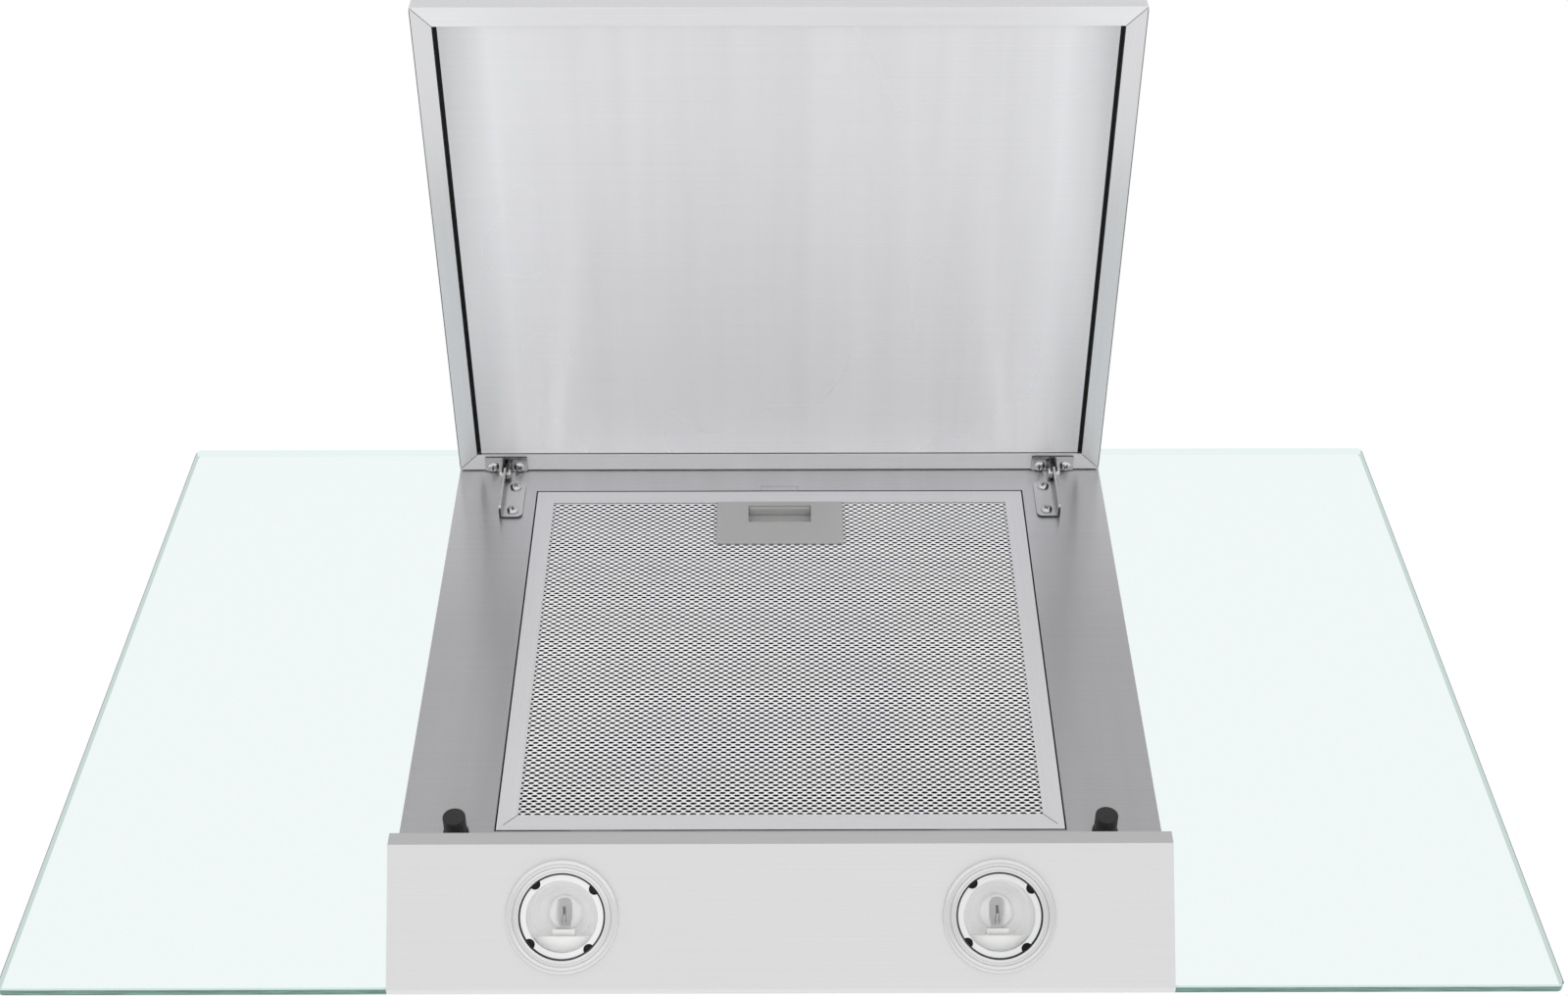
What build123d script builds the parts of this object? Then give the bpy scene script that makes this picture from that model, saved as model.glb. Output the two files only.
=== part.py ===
from build123d import *

import os
from math import cos, hypot, radians, sin

# Wall-hung range hood with a flat glass canopy, in millimetres.
# X runs along the wall, +Y points at the wall and +Z up.
# The origin is on the wall, on the centre line, level with the underside of the glass.
# The suction panel is modelled open, hanging straight down from its hinges.

os.makedirs("parts", exist_ok=True)

# Glass canopy
GLASS_FRONT_WIDTH = 900.0
GLASS_REAR_WIDTH = 862.0
GLASS_DEPTH = 500.0
GLASS_THICKNESS = 6.0
GLASS_CORNER_RADIUS = 4.0
GLASS_BEVEL = 0.8
CUTOUT_WIDTH = 330.0
CUTOUT_DEPTH = 300.0
CUTOUT_RADIUS = 20.0
CUTOUT_TO_REAR_EDGE = 60.0

# Steel body
SHEET = 1.0
BODY_WIDTH = 452.0
BODY_DROP = 60.0
FASCIA_RUN = 55.5
FASCIA_STAND = 1.4
FASCIA_COVER = 3.5
FASCIA_BEND = 0.6
LIP_DEPTH = 9.0
PLATE_RECESS = 26.0
FLANGE_WIDTH = 16.0
SEAL_THICKNESS = 1.5
SEAL_WIDTH = 15.0
UPPER_HEIGHT = 60.0
UPPER_SETBACK = 70.0
UPPER_CORNER_RADIUS = 6.0
AIR_HOLE_WIDTH = 236.0
AIR_HOLE_DEPTH = 226.0

# Wall side
BACK_PLATE_THICKNESS = 2.0
BACK_PLATE_WIDTH = 256.0
BACK_PLATE_FOOT = 20.0
WALL_HOLE_RADIUS = 4.25
WALL_HOLES_X = 200.0
WALL_HOLES_Z = 110.0
WALL_HOLES_MID_Z = 165.0

# Grease filter
FILTER_WIDTH = 338.0
FILTER_LENGTH = 317.5
FILTER_THICKNESS = 9.0
FILTER_BAND = 12.0
FILTER_GAP = 1.0
FILTER_SETBACK = 26.0
FILTER_SHEET = 1.0
MESH_SHEET = 0.8
MESH_HOLE_ACROSS = 11.0
MESH_HOLE_ALONG = 7.0
MESH_COLUMNS = 15
MESH_ROWS = 18
CORE_SHEET = 0.6
CORE_RIDGES = 28
TAB_WIDTH = 30.0
TAB_REACH = 5.0
TAB_SPREAD = 220.0
TAB_THICKNESS = 1.2

# Filter handle and latch
HANDLE_WIDTH = 87.0
HANDLE_LENGTH = 44.0
HANDLE_PROUD = 1.2
HANDLE_DEPTH = 6.2
POCKET_WIDTH = 43.0
POCKET_LENGTH = 18.0
POCKET_SETBACK = 4.5
POCKET_WALL = 1.4
LATCH_WIDTH = 24.0
LATCH_THICKNESS = 2.0
LATCH_TRAVEL = 5.0
LATCH_REACH = 4.0
LATCH_GAP = 0.4
KEEPER_THICKNESS = 0.5
KEEPER_LENGTH = 9.0
STOP_WIDTH = 3.6
STOP_LENGTH = 1.5
STOP_SETBACK = 1.0
SPRING_WIRE_RADIUS = 0.3
SPRING_RADIUS = 1.0
SPRING_LENGTH = 2 * LATCH_TRAVEL
SPRING_TURNS = 5

# Suction panel
PANEL_LENGTH = 360.0
PANEL_THICKNESS = 11.0
PANEL_SHEET = 1.0
PANEL_FLANGE = 13.0
PANEL_GAP = 1.7
PANEL_CORNER_RADIUS = 1.5
LINER_RECESS = 1.5
LINER_SHEET = 0.8
LINER_SIDE_GAP = 3.0
LINER_END_GAP = 0.5
HINGE_GAP = 1.0
SWING_GAP = 1.5

# Hinges
PIVOT_INSET = 9.9
HINGE_SPREAD = 385.6
LEG_THICKNESS = 1.5
LEG_RADIUS = 4.5
LEG_LENGTH = 42.9
FOOT_WIDTH = 14.8
FOOT_LENGTH = 37.8
FOOT_CORNER_RADIUS = 4.0
FOOT_SCREW_INSET = 6.8
FOOT_SCREW_OFFSET = 8.1
FOOT_SCREW_PITCH = 25.4
HINGE_PLATE_WIDTH = 29.5
HINGE_PLATE_HEIGHT = 12.0
HINGE_PLATE_THICKNESS = 1.2
HINGE_PLATE_TOP = 0.5
HINGE_SCREW_DROP = 4.0
HINGE_SCREW_PITCH = 18.5
EAR_GAP = 0.4
EAR_THICKNESS = 1.2
EAR_RADIUS = 4.0
PIN_RADIUS = 2.0
PIN_CLEARANCE = 0.05
RIVET_RADIUS = 3.2
RIVET_HEIGHT = 1.4
SCREW_HEAD_RADIUS = 3.9
SCREW_HEAD_HEIGHT = 2.5
SCREW_HEAD_ROUND = 2.0
SCREW_RADIUS = 2.0
SCREW_LENGTH = 5.0

# Magnetic catches
CATCH_RADIUS = 6.75
CATCH_FOOT_RADIUS = 7.6
CATCH_FOOT_HEIGHT = 3.0
CATCH_SPREAD = 384.0
CATCH_GAP = 0.3
CATCH_FLANGE_GAP = 0.5

# Lamps
LAMP_SPACING = 251.0
LAMP_BEZEL_RADIUS = 32.75
LAMP_BEZEL_HEIGHT = 2.4
LAMP_GROOVE_RADIUS = 29.5
LAMP_BORE_RADIUS = 24.6
LAMP_HOLE_RADIUS = 27.2
RING_GAP = 0.4
RING_WIDTH = 3.6
RING_PROUD = 0.6
RING_HEIGHT = 3.0
NOTCH_COUNT = 4
NOTCH_RADIUS = 3.2
NOTCH_ANGLE = 40.0
LENS_THICKNESS = 2.5
LENS_CROWN = 1.2
REFLECTOR_MOUTH_RADIUS = 22.5
REFLECTOR_THROAT_RADIUS = 11.5
REFLECTOR_DEPTH = 20.0
REFLECTOR_WALL = 0.8
BULB_RADIUS = 4.75
BULB_TIP_ROUND = 4.25
BULB_LENGTH = 13.0
BULB_DEPTH = 9.0
BULB_OFFSET = 3.0
BULB_PINCH = 5.0
PINCH_WIDTH = 7.6
PINCH_THICKNESS = 3.0
SOCKET_LENGTH = 5.0
SOCKET_WIDTH = 13.0
SOCKET_DEPTH = 6.0

# Buttons and electrics
BUTTON_COUNT = 5
BUTTON_PITCH = 24.0
BUTTON_RADIUS = 7.4
BUTTON_GAP = 0.4
BUTTON_PROUD = 3.0
BUTTON_EDGE_ROUND = 0.75
BUTTON_LENGTH = 12.0
BUTTON_FLANGE = 1.6
BUTTON_TRAVEL = 1.5
BUTTON_Z = 37.5
SWITCH_SIDE = 6.0
SWITCH_HEIGHT = 4.0
BOARD_THICKNESS = 1.6
BOARD_HEIGHT = 36.0
BOARD_MARGIN = 14.0
POST_RADIUS = 3.0
POST_INSET = 5.0
TRANSFORMER_WIDTH = 44.0
TRANSFORMER_LENGTH = 70.0
TRANSFORMER_HEIGHT = 32.0
TRANSFORMER_TO_SIDE = 18.0
TRANSFORMER_TO_FRONT = 66.0
TRANSFORMER_FOOT = 8.0
TRANSFORMER_FOOT_THICKNESS = 2.0

# Blower
BOX_WIDTH = 260.0
BOX_DEPTH = 250.0
BOX_HEIGHT = 184.0
IMPELLER_RADIUS = 62.0
IMPELLER_WIDTH = 96.0
IMPELLER_RING = 3.0
BLADE_COUNT = 36
BLADE_DEPTH = 11.0
BLADE_THICKNESS = 1.4
BLADE_PITCH = 40.0
HUB_RADIUS = 10.0
HUB_THICKNESS = 2.5
HUB_LENGTH = 16.0
SHAFT_RADIUS = 4.0
SHAFT_CLEARANCE = 0.05
SHAFT_IN_MOTOR = 30.0
SCROLL_WIDTH = 112.0
SCROLL_WALL = 2.0
SCROLL_START = 60.0
SCROLL_START_RADIUS = 67.0
SCROLL_END_RADIUS = 97.0
SCROLL_STEPS = 10
SCROLL_GAP_ABOVE_FLOOR = 8.0
INLET_RADIUS = 52.0
MOTOR_RADIUS = 38.0
MOTOR_LENGTH = 44.0
SPIDER_RADIUS = 60.0
SPIDER_THICKNESS = 2.5
SPIDER_ARM = 9.0
SPIDER_ARM_COUNT = 3

# Duct outlet
COLLAR_RADIUS = 75.0
COLLAR_WALL = 2.0
COLLAR_HEIGHT = 34.0
COLLAR_BASE = 7.0
COLLAR_BASE_THICKNESS = 2.0
COLLAR_TO_WALL = 86.0
SEAT_WIDTH = 3.0
SEAT_HEIGHT = 8.0
FLAP_THICKNESS = 1.6
FLAP_GAP = 1.0
FLAP_REST = 0.3
BARREL_RADIUS = 3.4
BARREL_SPAN = 42.0
BARREL_GAP = 0.5
SPINDLE_RADIUS = 1.5
SPINDLE_CLEARANCE = 0.05

# Duct covers
COVER_SHEET = 1.0
COVER_WIDTH = 290.0
COVER_DEPTH = 267.0
COVER_HEIGHT = 218.0
COVER_GAP = 0.5
COVER_RETURN = 13.0
UPPER_COVER_LIFT = 5.0
UPPER_COVER_PROUD = 3.0

# Fixings through the glass
FIXING_RADIUS = 2.5
FIXING_HOLE_RADIUS = 3.0
FIXING_HEAD_RADIUS = 4.6
FIXING_HEAD_HEIGHT = 2.8
FIXING_NUT_RADIUS = 4.4
FIXING_NUT_HEIGHT = 4.0
HEX_SIDES = 6
FIXING_EDGE = 8.0
FIXING_END = 30.0

# Cable gland
GLAND_X = -105.0
GLAND_TO_WALL = 225.0
GLAND_RADIUS = 9.0
GLAND_HEIGHT = 14.0
GLAND_BORE_RADIUS = 4.2
GLAND_THREAD_RADIUS = 6.0
GLAND_THREAD_LENGTH = 8.0

# Levels and depths worked out from the sizes
GLASS_REAR_Y = -BACK_PLATE_THICKNESS
GLASS_FRONT_Y = GLASS_REAR_Y - GLASS_DEPTH
LIP_FRONT_Y = GLASS_FRONT_Y + FASCIA_RUN
LIP_REAR_Y = LIP_FRONT_Y + LIP_DEPTH
PLATE_Z = PLATE_RECESS - BODY_DROP
BODY_TOP_Z = -SEAL_THICKNESS
PAN_LENGTH = GLASS_REAR_Y - LIP_REAR_Y
PAN_MID_Y = (GLASS_REAR_Y + LIP_REAR_Y) / 2
PAN_HEIGHT = BODY_TOP_Z - PLATE_Z
CUTOUT_MID_Y = GLASS_REAR_Y - CUTOUT_TO_REAR_EDGE - CUTOUT_DEPTH / 2

UPPER_FRONT_Y = GLASS_FRONT_Y + UPPER_SETBACK
UPPER_LENGTH = GLASS_REAR_Y - UPPER_FRONT_Y
UPPER_MID_Y = (GLASS_REAR_Y + UPPER_FRONT_Y) / 2
UPPER_FLOOR_Z = GLASS_THICKNESS + SEAL_THICKNESS
UPPER_TOP_Z = UPPER_FLOOR_Z + UPPER_HEIGHT

FILTER_FRONT_Y = LIP_REAR_Y + FILTER_SETBACK
FILTER_REAR_Y = FILTER_FRONT_Y + FILTER_LENGTH
FILTER_MID_Y = (FILTER_FRONT_Y + FILTER_REAR_Y) / 2

PANEL_TOP_Z = PLATE_Z - HINGE_GAP
PANEL_LOW_Z = PANEL_TOP_Z - PANEL_LENGTH
PANEL_MID_Z = (PANEL_TOP_Z + PANEL_LOW_Z) / 2
PIVOT_Z = PIVOT_INSET + PANEL_THICKNESS - BODY_DROP
PIVOT_Y = LIP_REAR_Y + PANEL_GAP + PIVOT_Z - PANEL_LOW_Z
PANEL_IN_Y = PIVOT_Y + PIVOT_INSET
PANEL_OUT_Y = PANEL_IN_Y + PANEL_THICKNESS
PANEL_SWEEP = hypot(PANEL_OUT_Y - PIVOT_Y, PANEL_TOP_Z - PIVOT_Z)
RETURN_FRONT_Y = PIVOT_Y + PANEL_SWEEP + SWING_GAP

BUTTON_BACK_Y = UPPER_FRONT_Y - BUTTON_PROUD + BUTTON_LENGTH
BOARD_Y = BUTTON_BACK_Y + BUTTON_TRAVEL + BUTTON_GAP + SWITCH_HEIGHT
BUTTON_X = [(i - (BUTTON_COUNT - 1) / 2) * BUTTON_PITCH for i in range(BUTTON_COUNT)]

BOX_MID_Y = GLASS_REAR_Y - BOX_DEPTH / 2
BOX_TOP_Z = UPPER_TOP_Z + BOX_HEIGHT
COLLAR_Y = -COLLAR_TO_WALL
SCROLL_SPREAD = SCROLL_END_RADIUS - SCROLL_START_RADIUS
BLOWER_Y = COLLAR_Y - (SCROLL_END_RADIUS + SCROLL_START_RADIUS * cos(radians(SCROLL_START))) / 2
BLOWER_Z = UPPER_TOP_Z + SCROLL_GAP_ABOVE_FLOOR + SCROLL_START_RADIUS \
    + SCROLL_SPREAD * (270 - SCROLL_START) / (360 - SCROLL_START)

LEG_FRONT_Y = PIVOT_Y - LEG_LENGTH
HINGE_X = (-HINGE_SPREAD / 2, HINGE_SPREAD / 2)
FOOT_SCREW_SPOTS = [(x - FOOT_SCREW_OFFSET * x / abs(x), LEG_FRONT_Y + FOOT_SCREW_INSET + step)
                    for x in HINGE_X for step in (0, FOOT_SCREW_PITCH)]
HINGE_SCREW_SPOTS = [(x + step, PANEL_TOP_Z + HINGE_PLATE_TOP - HINGE_SCREW_DROP)
                     for x in HINGE_X for step in (-HINGE_SCREW_PITCH / 2, HINGE_SCREW_PITCH / 2)]
WALL_HOLE_SPOTS = [(x, WALL_HOLES_MID_Z + z) for x in (-WALL_HOLES_X / 2, WALL_HOLES_X / 2)
                   for z in (-WALL_HOLES_Z / 2, WALL_HOLES_Z / 2)]

# Fascia face: its slope, its outward direction and the plane of its middle
SLOPE_TOP = Vector(0, GLASS_FRONT_Y - FASCIA_STAND, -FASCIA_BEND)
SLOPE_FOOT = Vector(0, LIP_FRONT_Y, -BODY_DROP)
SLOPE_DIR = (SLOPE_FOOT - SLOPE_TOP).normalized()
SLOPE_OUT = Vector(0, SLOPE_DIR.Z, -SLOPE_DIR.Y)
SLOPE_MID = (SLOPE_TOP + SLOPE_FOOT) * 0.5


def at_height(z):
    """Horizontal plane, seen from above."""
    return Plane.XY.offset(z)


def at_depth(y):
    """Plane facing the cook, with X along it and Z up it."""
    return Plane.XZ.offset(-y)


def at_side(x):
    """Plane across the hood, with Y along it and Z up it."""
    return Plane.YZ.offset(x)


def lamp_plane(x, lift=0.0):
    """Plane on the fascia at a lamp, facing the cook."""
    return Plane(origin=Vector(x, 0, 0) + SLOPE_MID + SLOPE_OUT * lift, x_dir=(1, 0, 0), z_dir=SLOPE_OUT)


def lamp_section(x):
    """Plane through a lamp's axis: X is the radius and Y runs out along the axis."""
    across = Vector(1, 0, 0)
    return Plane(origin=Vector(x, 0, 0) + SLOPE_MID, x_dir=across, z_dir=across.cross(SLOPE_OUT))


def lamp_axis(x):
    return Axis(Vector(x, 0, 0) + SLOPE_MID, SLOPE_OUT)


# Glass canopy: one sheet, cut out over the body for the air, drilled for the fixings
FIXING_SPOTS = [(side * (BODY_WIDTH / 2 - FIXING_EDGE), y)
                for side in (-1, 1)
                for y in (UPPER_FRONT_Y + FIXING_END, UPPER_MID_Y, GLASS_REAR_Y - FIXING_END)]

with BuildPart() as glass:
    with BuildSketch(at_height(0)) as outline:
        with BuildLine():
            Polyline((-GLASS_FRONT_WIDTH / 2, GLASS_FRONT_Y), (GLASS_FRONT_WIDTH / 2, GLASS_FRONT_Y),
                     (GLASS_REAR_WIDTH / 2, GLASS_REAR_Y), (-GLASS_REAR_WIDTH / 2, GLASS_REAR_Y),
                     close=True)
        make_face()
        fillet(outline.vertices(), GLASS_CORNER_RADIUS)
    extrude(amount=GLASS_THICKNESS)
    for face in (glass.faces().sort_by(Axis.Z)[0], glass.faces().sort_by(Axis.Z)[-1]):
        chamfer(face.edges(), GLASS_BEVEL)
    with BuildSketch(at_height(0)):
        with Locations((0, CUTOUT_MID_Y)):
            RectangleRounded(CUTOUT_WIDTH, CUTOUT_DEPTH, CUTOUT_RADIUS)
        with Locations(*FIXING_SPOTS):
            Circle(FIXING_HOLE_RADIUS)
    extrude(amount=GLASS_THICKNESS, mode=Mode.SUBTRACT)
glass.part.label = "glass_canopy"
export_step(glass.part, "parts/glass_canopy.step")

# Rubber seals between the glass and the two halves of the body
for name, low_z, front_y, length, mid_y in (
        ("glass_seal_lower", BODY_TOP_Z, LIP_REAR_Y, PAN_LENGTH, PAN_MID_Y),
        ("glass_seal_upper", GLASS_THICKNESS, UPPER_FRONT_Y, UPPER_LENGTH, UPPER_MID_Y)):
    with BuildPart() as seal:
        with BuildSketch(at_height(low_z)):
            with Locations((0, mid_y)):
                Rectangle(BODY_WIDTH, length)
                Rectangle(BODY_WIDTH - 2 * SEAL_WIDTH, length - 2 * SEAL_WIDTH, mode=Mode.SUBTRACT)
            with Locations(*FIXING_SPOTS):
                Circle(FIXING_HOLE_RADIUS, mode=Mode.SUBTRACT)
        extrude(amount=SEAL_THICKNESS)
    seal.part.label = name
    export_step(seal.part, f"parts/{name}.step")

# Underside pan: flat plate with four folded walls, an inward top flange and the filter opening
OPENING_WIDTH = FILTER_WIDTH + 2 * FILTER_GAP
OPENING_LENGTH = FILTER_LENGTH + 2 * FILTER_GAP
NOTCH_WIDTH = LATCH_WIDTH + 4 * LATCH_GAP
NOTCH_LENGTH = LATCH_REACH + 2 * LATCH_GAP

with BuildPart() as pan:
    with BuildSketch(at_height(PLATE_Z)):
        with Locations((0, PAN_MID_Y)):
            Rectangle(BODY_WIDTH, PAN_LENGTH)
    extrude(amount=PAN_HEIGHT)
    with BuildSketch(at_height(PLATE_Z + SHEET)):
        with Locations((0, PAN_MID_Y)):
            Rectangle(BODY_WIDTH - 2 * SHEET, PAN_LENGTH - 2 * SHEET)
    extrude(amount=PAN_HEIGHT - 2 * SHEET, mode=Mode.SUBTRACT)
    with BuildSketch(at_height(BODY_TOP_Z - SHEET)):
        with Locations((0, PAN_MID_Y)):
            Rectangle(BODY_WIDTH - 2 * FLANGE_WIDTH, PAN_LENGTH - 2 * FLANGE_WIDTH)
        with Locations(*FIXING_SPOTS):
            Circle(FIXING_HOLE_RADIUS)
    extrude(amount=SHEET, mode=Mode.SUBTRACT)
    with BuildSketch(at_height(PLATE_Z)):
        with Locations((0, FILTER_MID_Y)):
            Rectangle(OPENING_WIDTH, OPENING_LENGTH)
        with Locations((0, FILTER_REAR_Y + FILTER_GAP + NOTCH_LENGTH / 2)):
            Rectangle(NOTCH_WIDTH, NOTCH_LENGTH)
        with Locations(*FOOT_SCREW_SPOTS):
            Circle(SCREW_RADIUS)
    extrude(amount=SHEET, mode=Mode.SUBTRACT)
pan.part.label = "underside_pan"
export_step(pan.part, "parts/underside_pan.step")

# Light fascia: sloped face, lip, rear wall and end cheeks folded from one sheet, open to the glass
INNER_TOP = SLOPE_TOP - SLOPE_OUT * SHEET
INNER_SLOPE = SLOPE_DIR.Y / SLOPE_DIR.Z
LAMP_X = (-LAMP_SPACING / 2, LAMP_SPACING / 2)


def inner_slope_y(z):
    """Depth of the slope's inner face at a height."""
    return INNER_TOP.Y + (z - INNER_TOP.Z) * INNER_SLOPE


with BuildPart() as fascia:
    with BuildSketch(at_side(-BODY_WIDTH / 2)):
        with BuildLine():
            Polyline((SLOPE_TOP.Y, FASCIA_COVER), (SLOPE_TOP.Y, SLOPE_TOP.Z),
                     (LIP_FRONT_Y, -BODY_DROP), (LIP_REAR_Y, -BODY_DROP), (LIP_REAR_Y, BODY_TOP_Z),
                     (SLOPE_TOP.Y + SHEET, BODY_TOP_Z), (SLOPE_TOP.Y + SHEET, FASCIA_COVER),
                     close=True)
        make_face()
    extrude(amount=BODY_WIDTH)
    with BuildSketch(at_side(SHEET - BODY_WIDTH / 2)):
        with BuildLine():
            Polyline((inner_slope_y(BODY_TOP_Z), BODY_TOP_Z),
                     (inner_slope_y(SHEET - BODY_DROP), SHEET - BODY_DROP),
                     (LIP_REAR_Y - SHEET, SHEET - BODY_DROP), (LIP_REAR_Y - SHEET, BODY_TOP_Z),
                     close=True)
        make_face()
    extrude(amount=BODY_WIDTH - 2 * SHEET, mode=Mode.SUBTRACT)
    for lamp_x in LAMP_X:
        with BuildSketch(lamp_plane(lamp_x)):
            Circle(LAMP_HOLE_RADIUS)
        extrude(amount=-2 * SHEET, mode=Mode.SUBTRACT)
fascia.part.label = "light_fascia"
export_step(fascia.part, "parts/light_fascia.step")

# Rear return: open-topped box that brings the underside back level with the lip behind the panel
RETURN_LENGTH = GLASS_REAR_Y - RETURN_FRONT_Y

with BuildPart() as rear_return:
    with BuildSketch(at_height(-BODY_DROP)):
        with Locations((0, (GLASS_REAR_Y + RETURN_FRONT_Y) / 2)):
            Rectangle(BODY_WIDTH, RETURN_LENGTH)
    extrude(amount=PLATE_RECESS)
    with BuildSketch(at_height(SHEET - BODY_DROP)):
        with Locations((0, (GLASS_REAR_Y + RETURN_FRONT_Y) / 2)):
            Rectangle(BODY_WIDTH - 2 * SHEET, RETURN_LENGTH - 2 * SHEET)
    extrude(amount=PLATE_RECESS, mode=Mode.SUBTRACT)
rear_return.part.label = "rear_return"
export_step(rear_return.part, "parts/rear_return.step")

# Lamps: each has a bezel, reflector, socket, capsule, lens and notched ring on the fascia's slope
RING_OUTER_RADIUS = LAMP_BORE_RADIUS - RING_GAP
RING_INNER_RADIUS = RING_OUTER_RADIUS - RING_WIDTH
LENS_RADIUS = (RING_OUTER_RADIUS + RING_INNER_RADIUS) / 2
RING_LOW = RING_PROUD - RING_HEIGHT
LENS_LOW = RING_LOW - LENS_THICKNESS
REFLECTOR_TOP = LENS_LOW - RING_GAP
REFLECTOR_BACK = REFLECTOR_TOP - REFLECTOR_DEPTH
RIM_BACK = REFLECTOR_TOP - REFLECTOR_WALL

for side, lamp_x in zip(("left", "right"), LAMP_X):
    with BuildPart() as bezel:
        with BuildSketch(lamp_section(lamp_x)):
            with BuildLine():
                Polyline((LAMP_BORE_RADIUS, REFLECTOR_TOP), (LAMP_BORE_RADIUS, LAMP_BEZEL_HEIGHT / 2),
                         (LAMP_GROOVE_RADIUS, LAMP_BEZEL_HEIGHT),
                         (LAMP_BEZEL_RADIUS - SHEET, LAMP_BEZEL_HEIGHT),
                         (LAMP_BEZEL_RADIUS, LAMP_BEZEL_HEIGHT / 2), (LAMP_BEZEL_RADIUS, 0),
                         (LAMP_BORE_RADIUS + SHEET, 0), (LAMP_BORE_RADIUS + SHEET, REFLECTOR_TOP),
                         close=True)
            make_face()
        revolve(axis=lamp_axis(lamp_x))
    bezel.part.label = f"lamp_bezel_{side}"
    export_step(bezel.part, f"parts/lamp_bezel_{side}.step")

    with BuildPart() as reflector:
        with BuildSketch(lamp_section(lamp_x)):
            with BuildLine():
                Polyline((REFLECTOR_MOUTH_RADIUS, REFLECTOR_TOP), (LAMP_BORE_RADIUS + SHEET, REFLECTOR_TOP),
                         (LAMP_BORE_RADIUS + SHEET, RIM_BACK),
                         (REFLECTOR_MOUTH_RADIUS + REFLECTOR_WALL, RIM_BACK),
                         (REFLECTOR_THROAT_RADIUS + REFLECTOR_WALL, REFLECTOR_BACK - REFLECTOR_WALL),
                         (0, REFLECTOR_BACK - REFLECTOR_WALL), (0, REFLECTOR_BACK),
                         (REFLECTOR_THROAT_RADIUS, REFLECTOR_BACK), close=True)
            make_face()
        revolve(axis=lamp_axis(lamp_x))
    reflector.part.label = f"lamp_reflector_{side}"
    export_step(reflector.part, f"parts/lamp_reflector_{side}.step")

    # The capsule lies across the reflector, with its base and socket towards the glass
    bulb_lift = SLOPE_OUT * (REFLECTOR_TOP - BULB_DEPTH)
    bulb_centre = Vector(lamp_x, 0, 0) + SLOPE_MID + bulb_lift + SLOPE_DIR * BULB_OFFSET
    bulb_plane = Plane(origin=bulb_centre, x_dir=(1, 0, 0), z_dir=-SLOPE_DIR)
    with BuildPart() as bulb:
        with BuildSketch(bulb_plane.offset(-BULB_LENGTH / 2)):
            Circle(BULB_RADIUS)
        extrude(amount=BULB_LENGTH)
        fillet(bulb.faces().sort_by(Axis(bulb_centre, bulb_plane.z_dir))[0].edges(), BULB_TIP_ROUND)
        with BuildSketch(bulb_plane.offset(BULB_LENGTH / 2)):
            Rectangle(PINCH_WIDTH, PINCH_THICKNESS)
        extrude(amount=BULB_PINCH)
    bulb.part.label = f"lamp_bulb_{side}"
    export_step(bulb.part, f"parts/lamp_bulb_{side}.step")

    with BuildPart() as socket:
        with BuildSketch(bulb_plane.offset(BULB_LENGTH / 2 + BULB_PINCH)):
            Rectangle(SOCKET_WIDTH, SOCKET_DEPTH)
        extrude(amount=SOCKET_LENGTH)
    socket.part.label = f"lamp_socket_{side}"
    export_step(socket.part, f"parts/lamp_socket_{side}.step")

    with BuildPart() as lens:
        with BuildSketch(lamp_section(lamp_x)):
            with BuildLine():
                Polyline((0, RING_LOW + LENS_CROWN), (0, LENS_LOW), (LENS_RADIUS, LENS_LOW),
                         (LENS_RADIUS, RING_LOW), (RING_INNER_RADIUS, RING_LOW))
                TangentArc((0, RING_LOW + LENS_CROWN), (RING_INNER_RADIUS, RING_LOW), tangent=(1, 0))
            make_face()
        revolve(axis=lamp_axis(lamp_x))
    lens.part.label = f"lamp_lens_{side}"
    export_step(lens.part, f"parts/lamp_lens_{side}.step")

    with BuildPart() as ring:
        with BuildSketch(lamp_plane(lamp_x, RING_LOW)):
            Circle(RING_OUTER_RADIUS)
            Circle(RING_INNER_RADIUS, mode=Mode.SUBTRACT)
            with PolarLocations(RING_OUTER_RADIUS, NOTCH_COUNT, start_angle=NOTCH_ANGLE):
                Circle(NOTCH_RADIUS, mode=Mode.SUBTRACT)
        extrude(amount=RING_HEIGHT)
    ring.part.label = f"lamp_ring_{side}"
    export_step(ring.part, f"parts/lamp_ring_{side}.step")

# Grease filter: mitred channel frame with two front tabs, meshes on both sides and a core between them
INNER_WIDTH = FILTER_WIDTH - 2 * FILTER_BAND
INNER_LENGTH = FILTER_LENGTH - 2 * FILTER_BAND
MESH_STEP_X = INNER_WIDTH / MESH_COLUMNS
MESH_STEP_Y = INNER_LENGTH / MESH_ROWS
PACK_WIDTH = FILTER_WIDTH - 2 * FILTER_SHEET
PACK_LENGTH = FILTER_LENGTH - 2 * FILTER_SHEET
PACK_LOW_Z = PLATE_Z + FILTER_SHEET
PACK_HEIGHT = FILTER_THICKNESS - 2 * FILTER_SHEET
CORE_HEIGHT = PACK_HEIGHT - 2 * MESH_SHEET
LATCH_LOW_Z = PLATE_Z + SHEET + LATCH_GAP
LATCH_HIGH_Z = LATCH_LOW_Z + LATCH_THICKNESS
TAB_Z = PLATE_Z + SHEET + LATCH_GAP
HANDLE_REAR_Y = FILTER_REAR_Y - FILTER_BAND
HANDLE_MID_Y = HANDLE_REAR_Y - HANDLE_LENGTH / 2
SLOT_WIDTH = LATCH_WIDTH + 2 * LATCH_GAP

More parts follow.
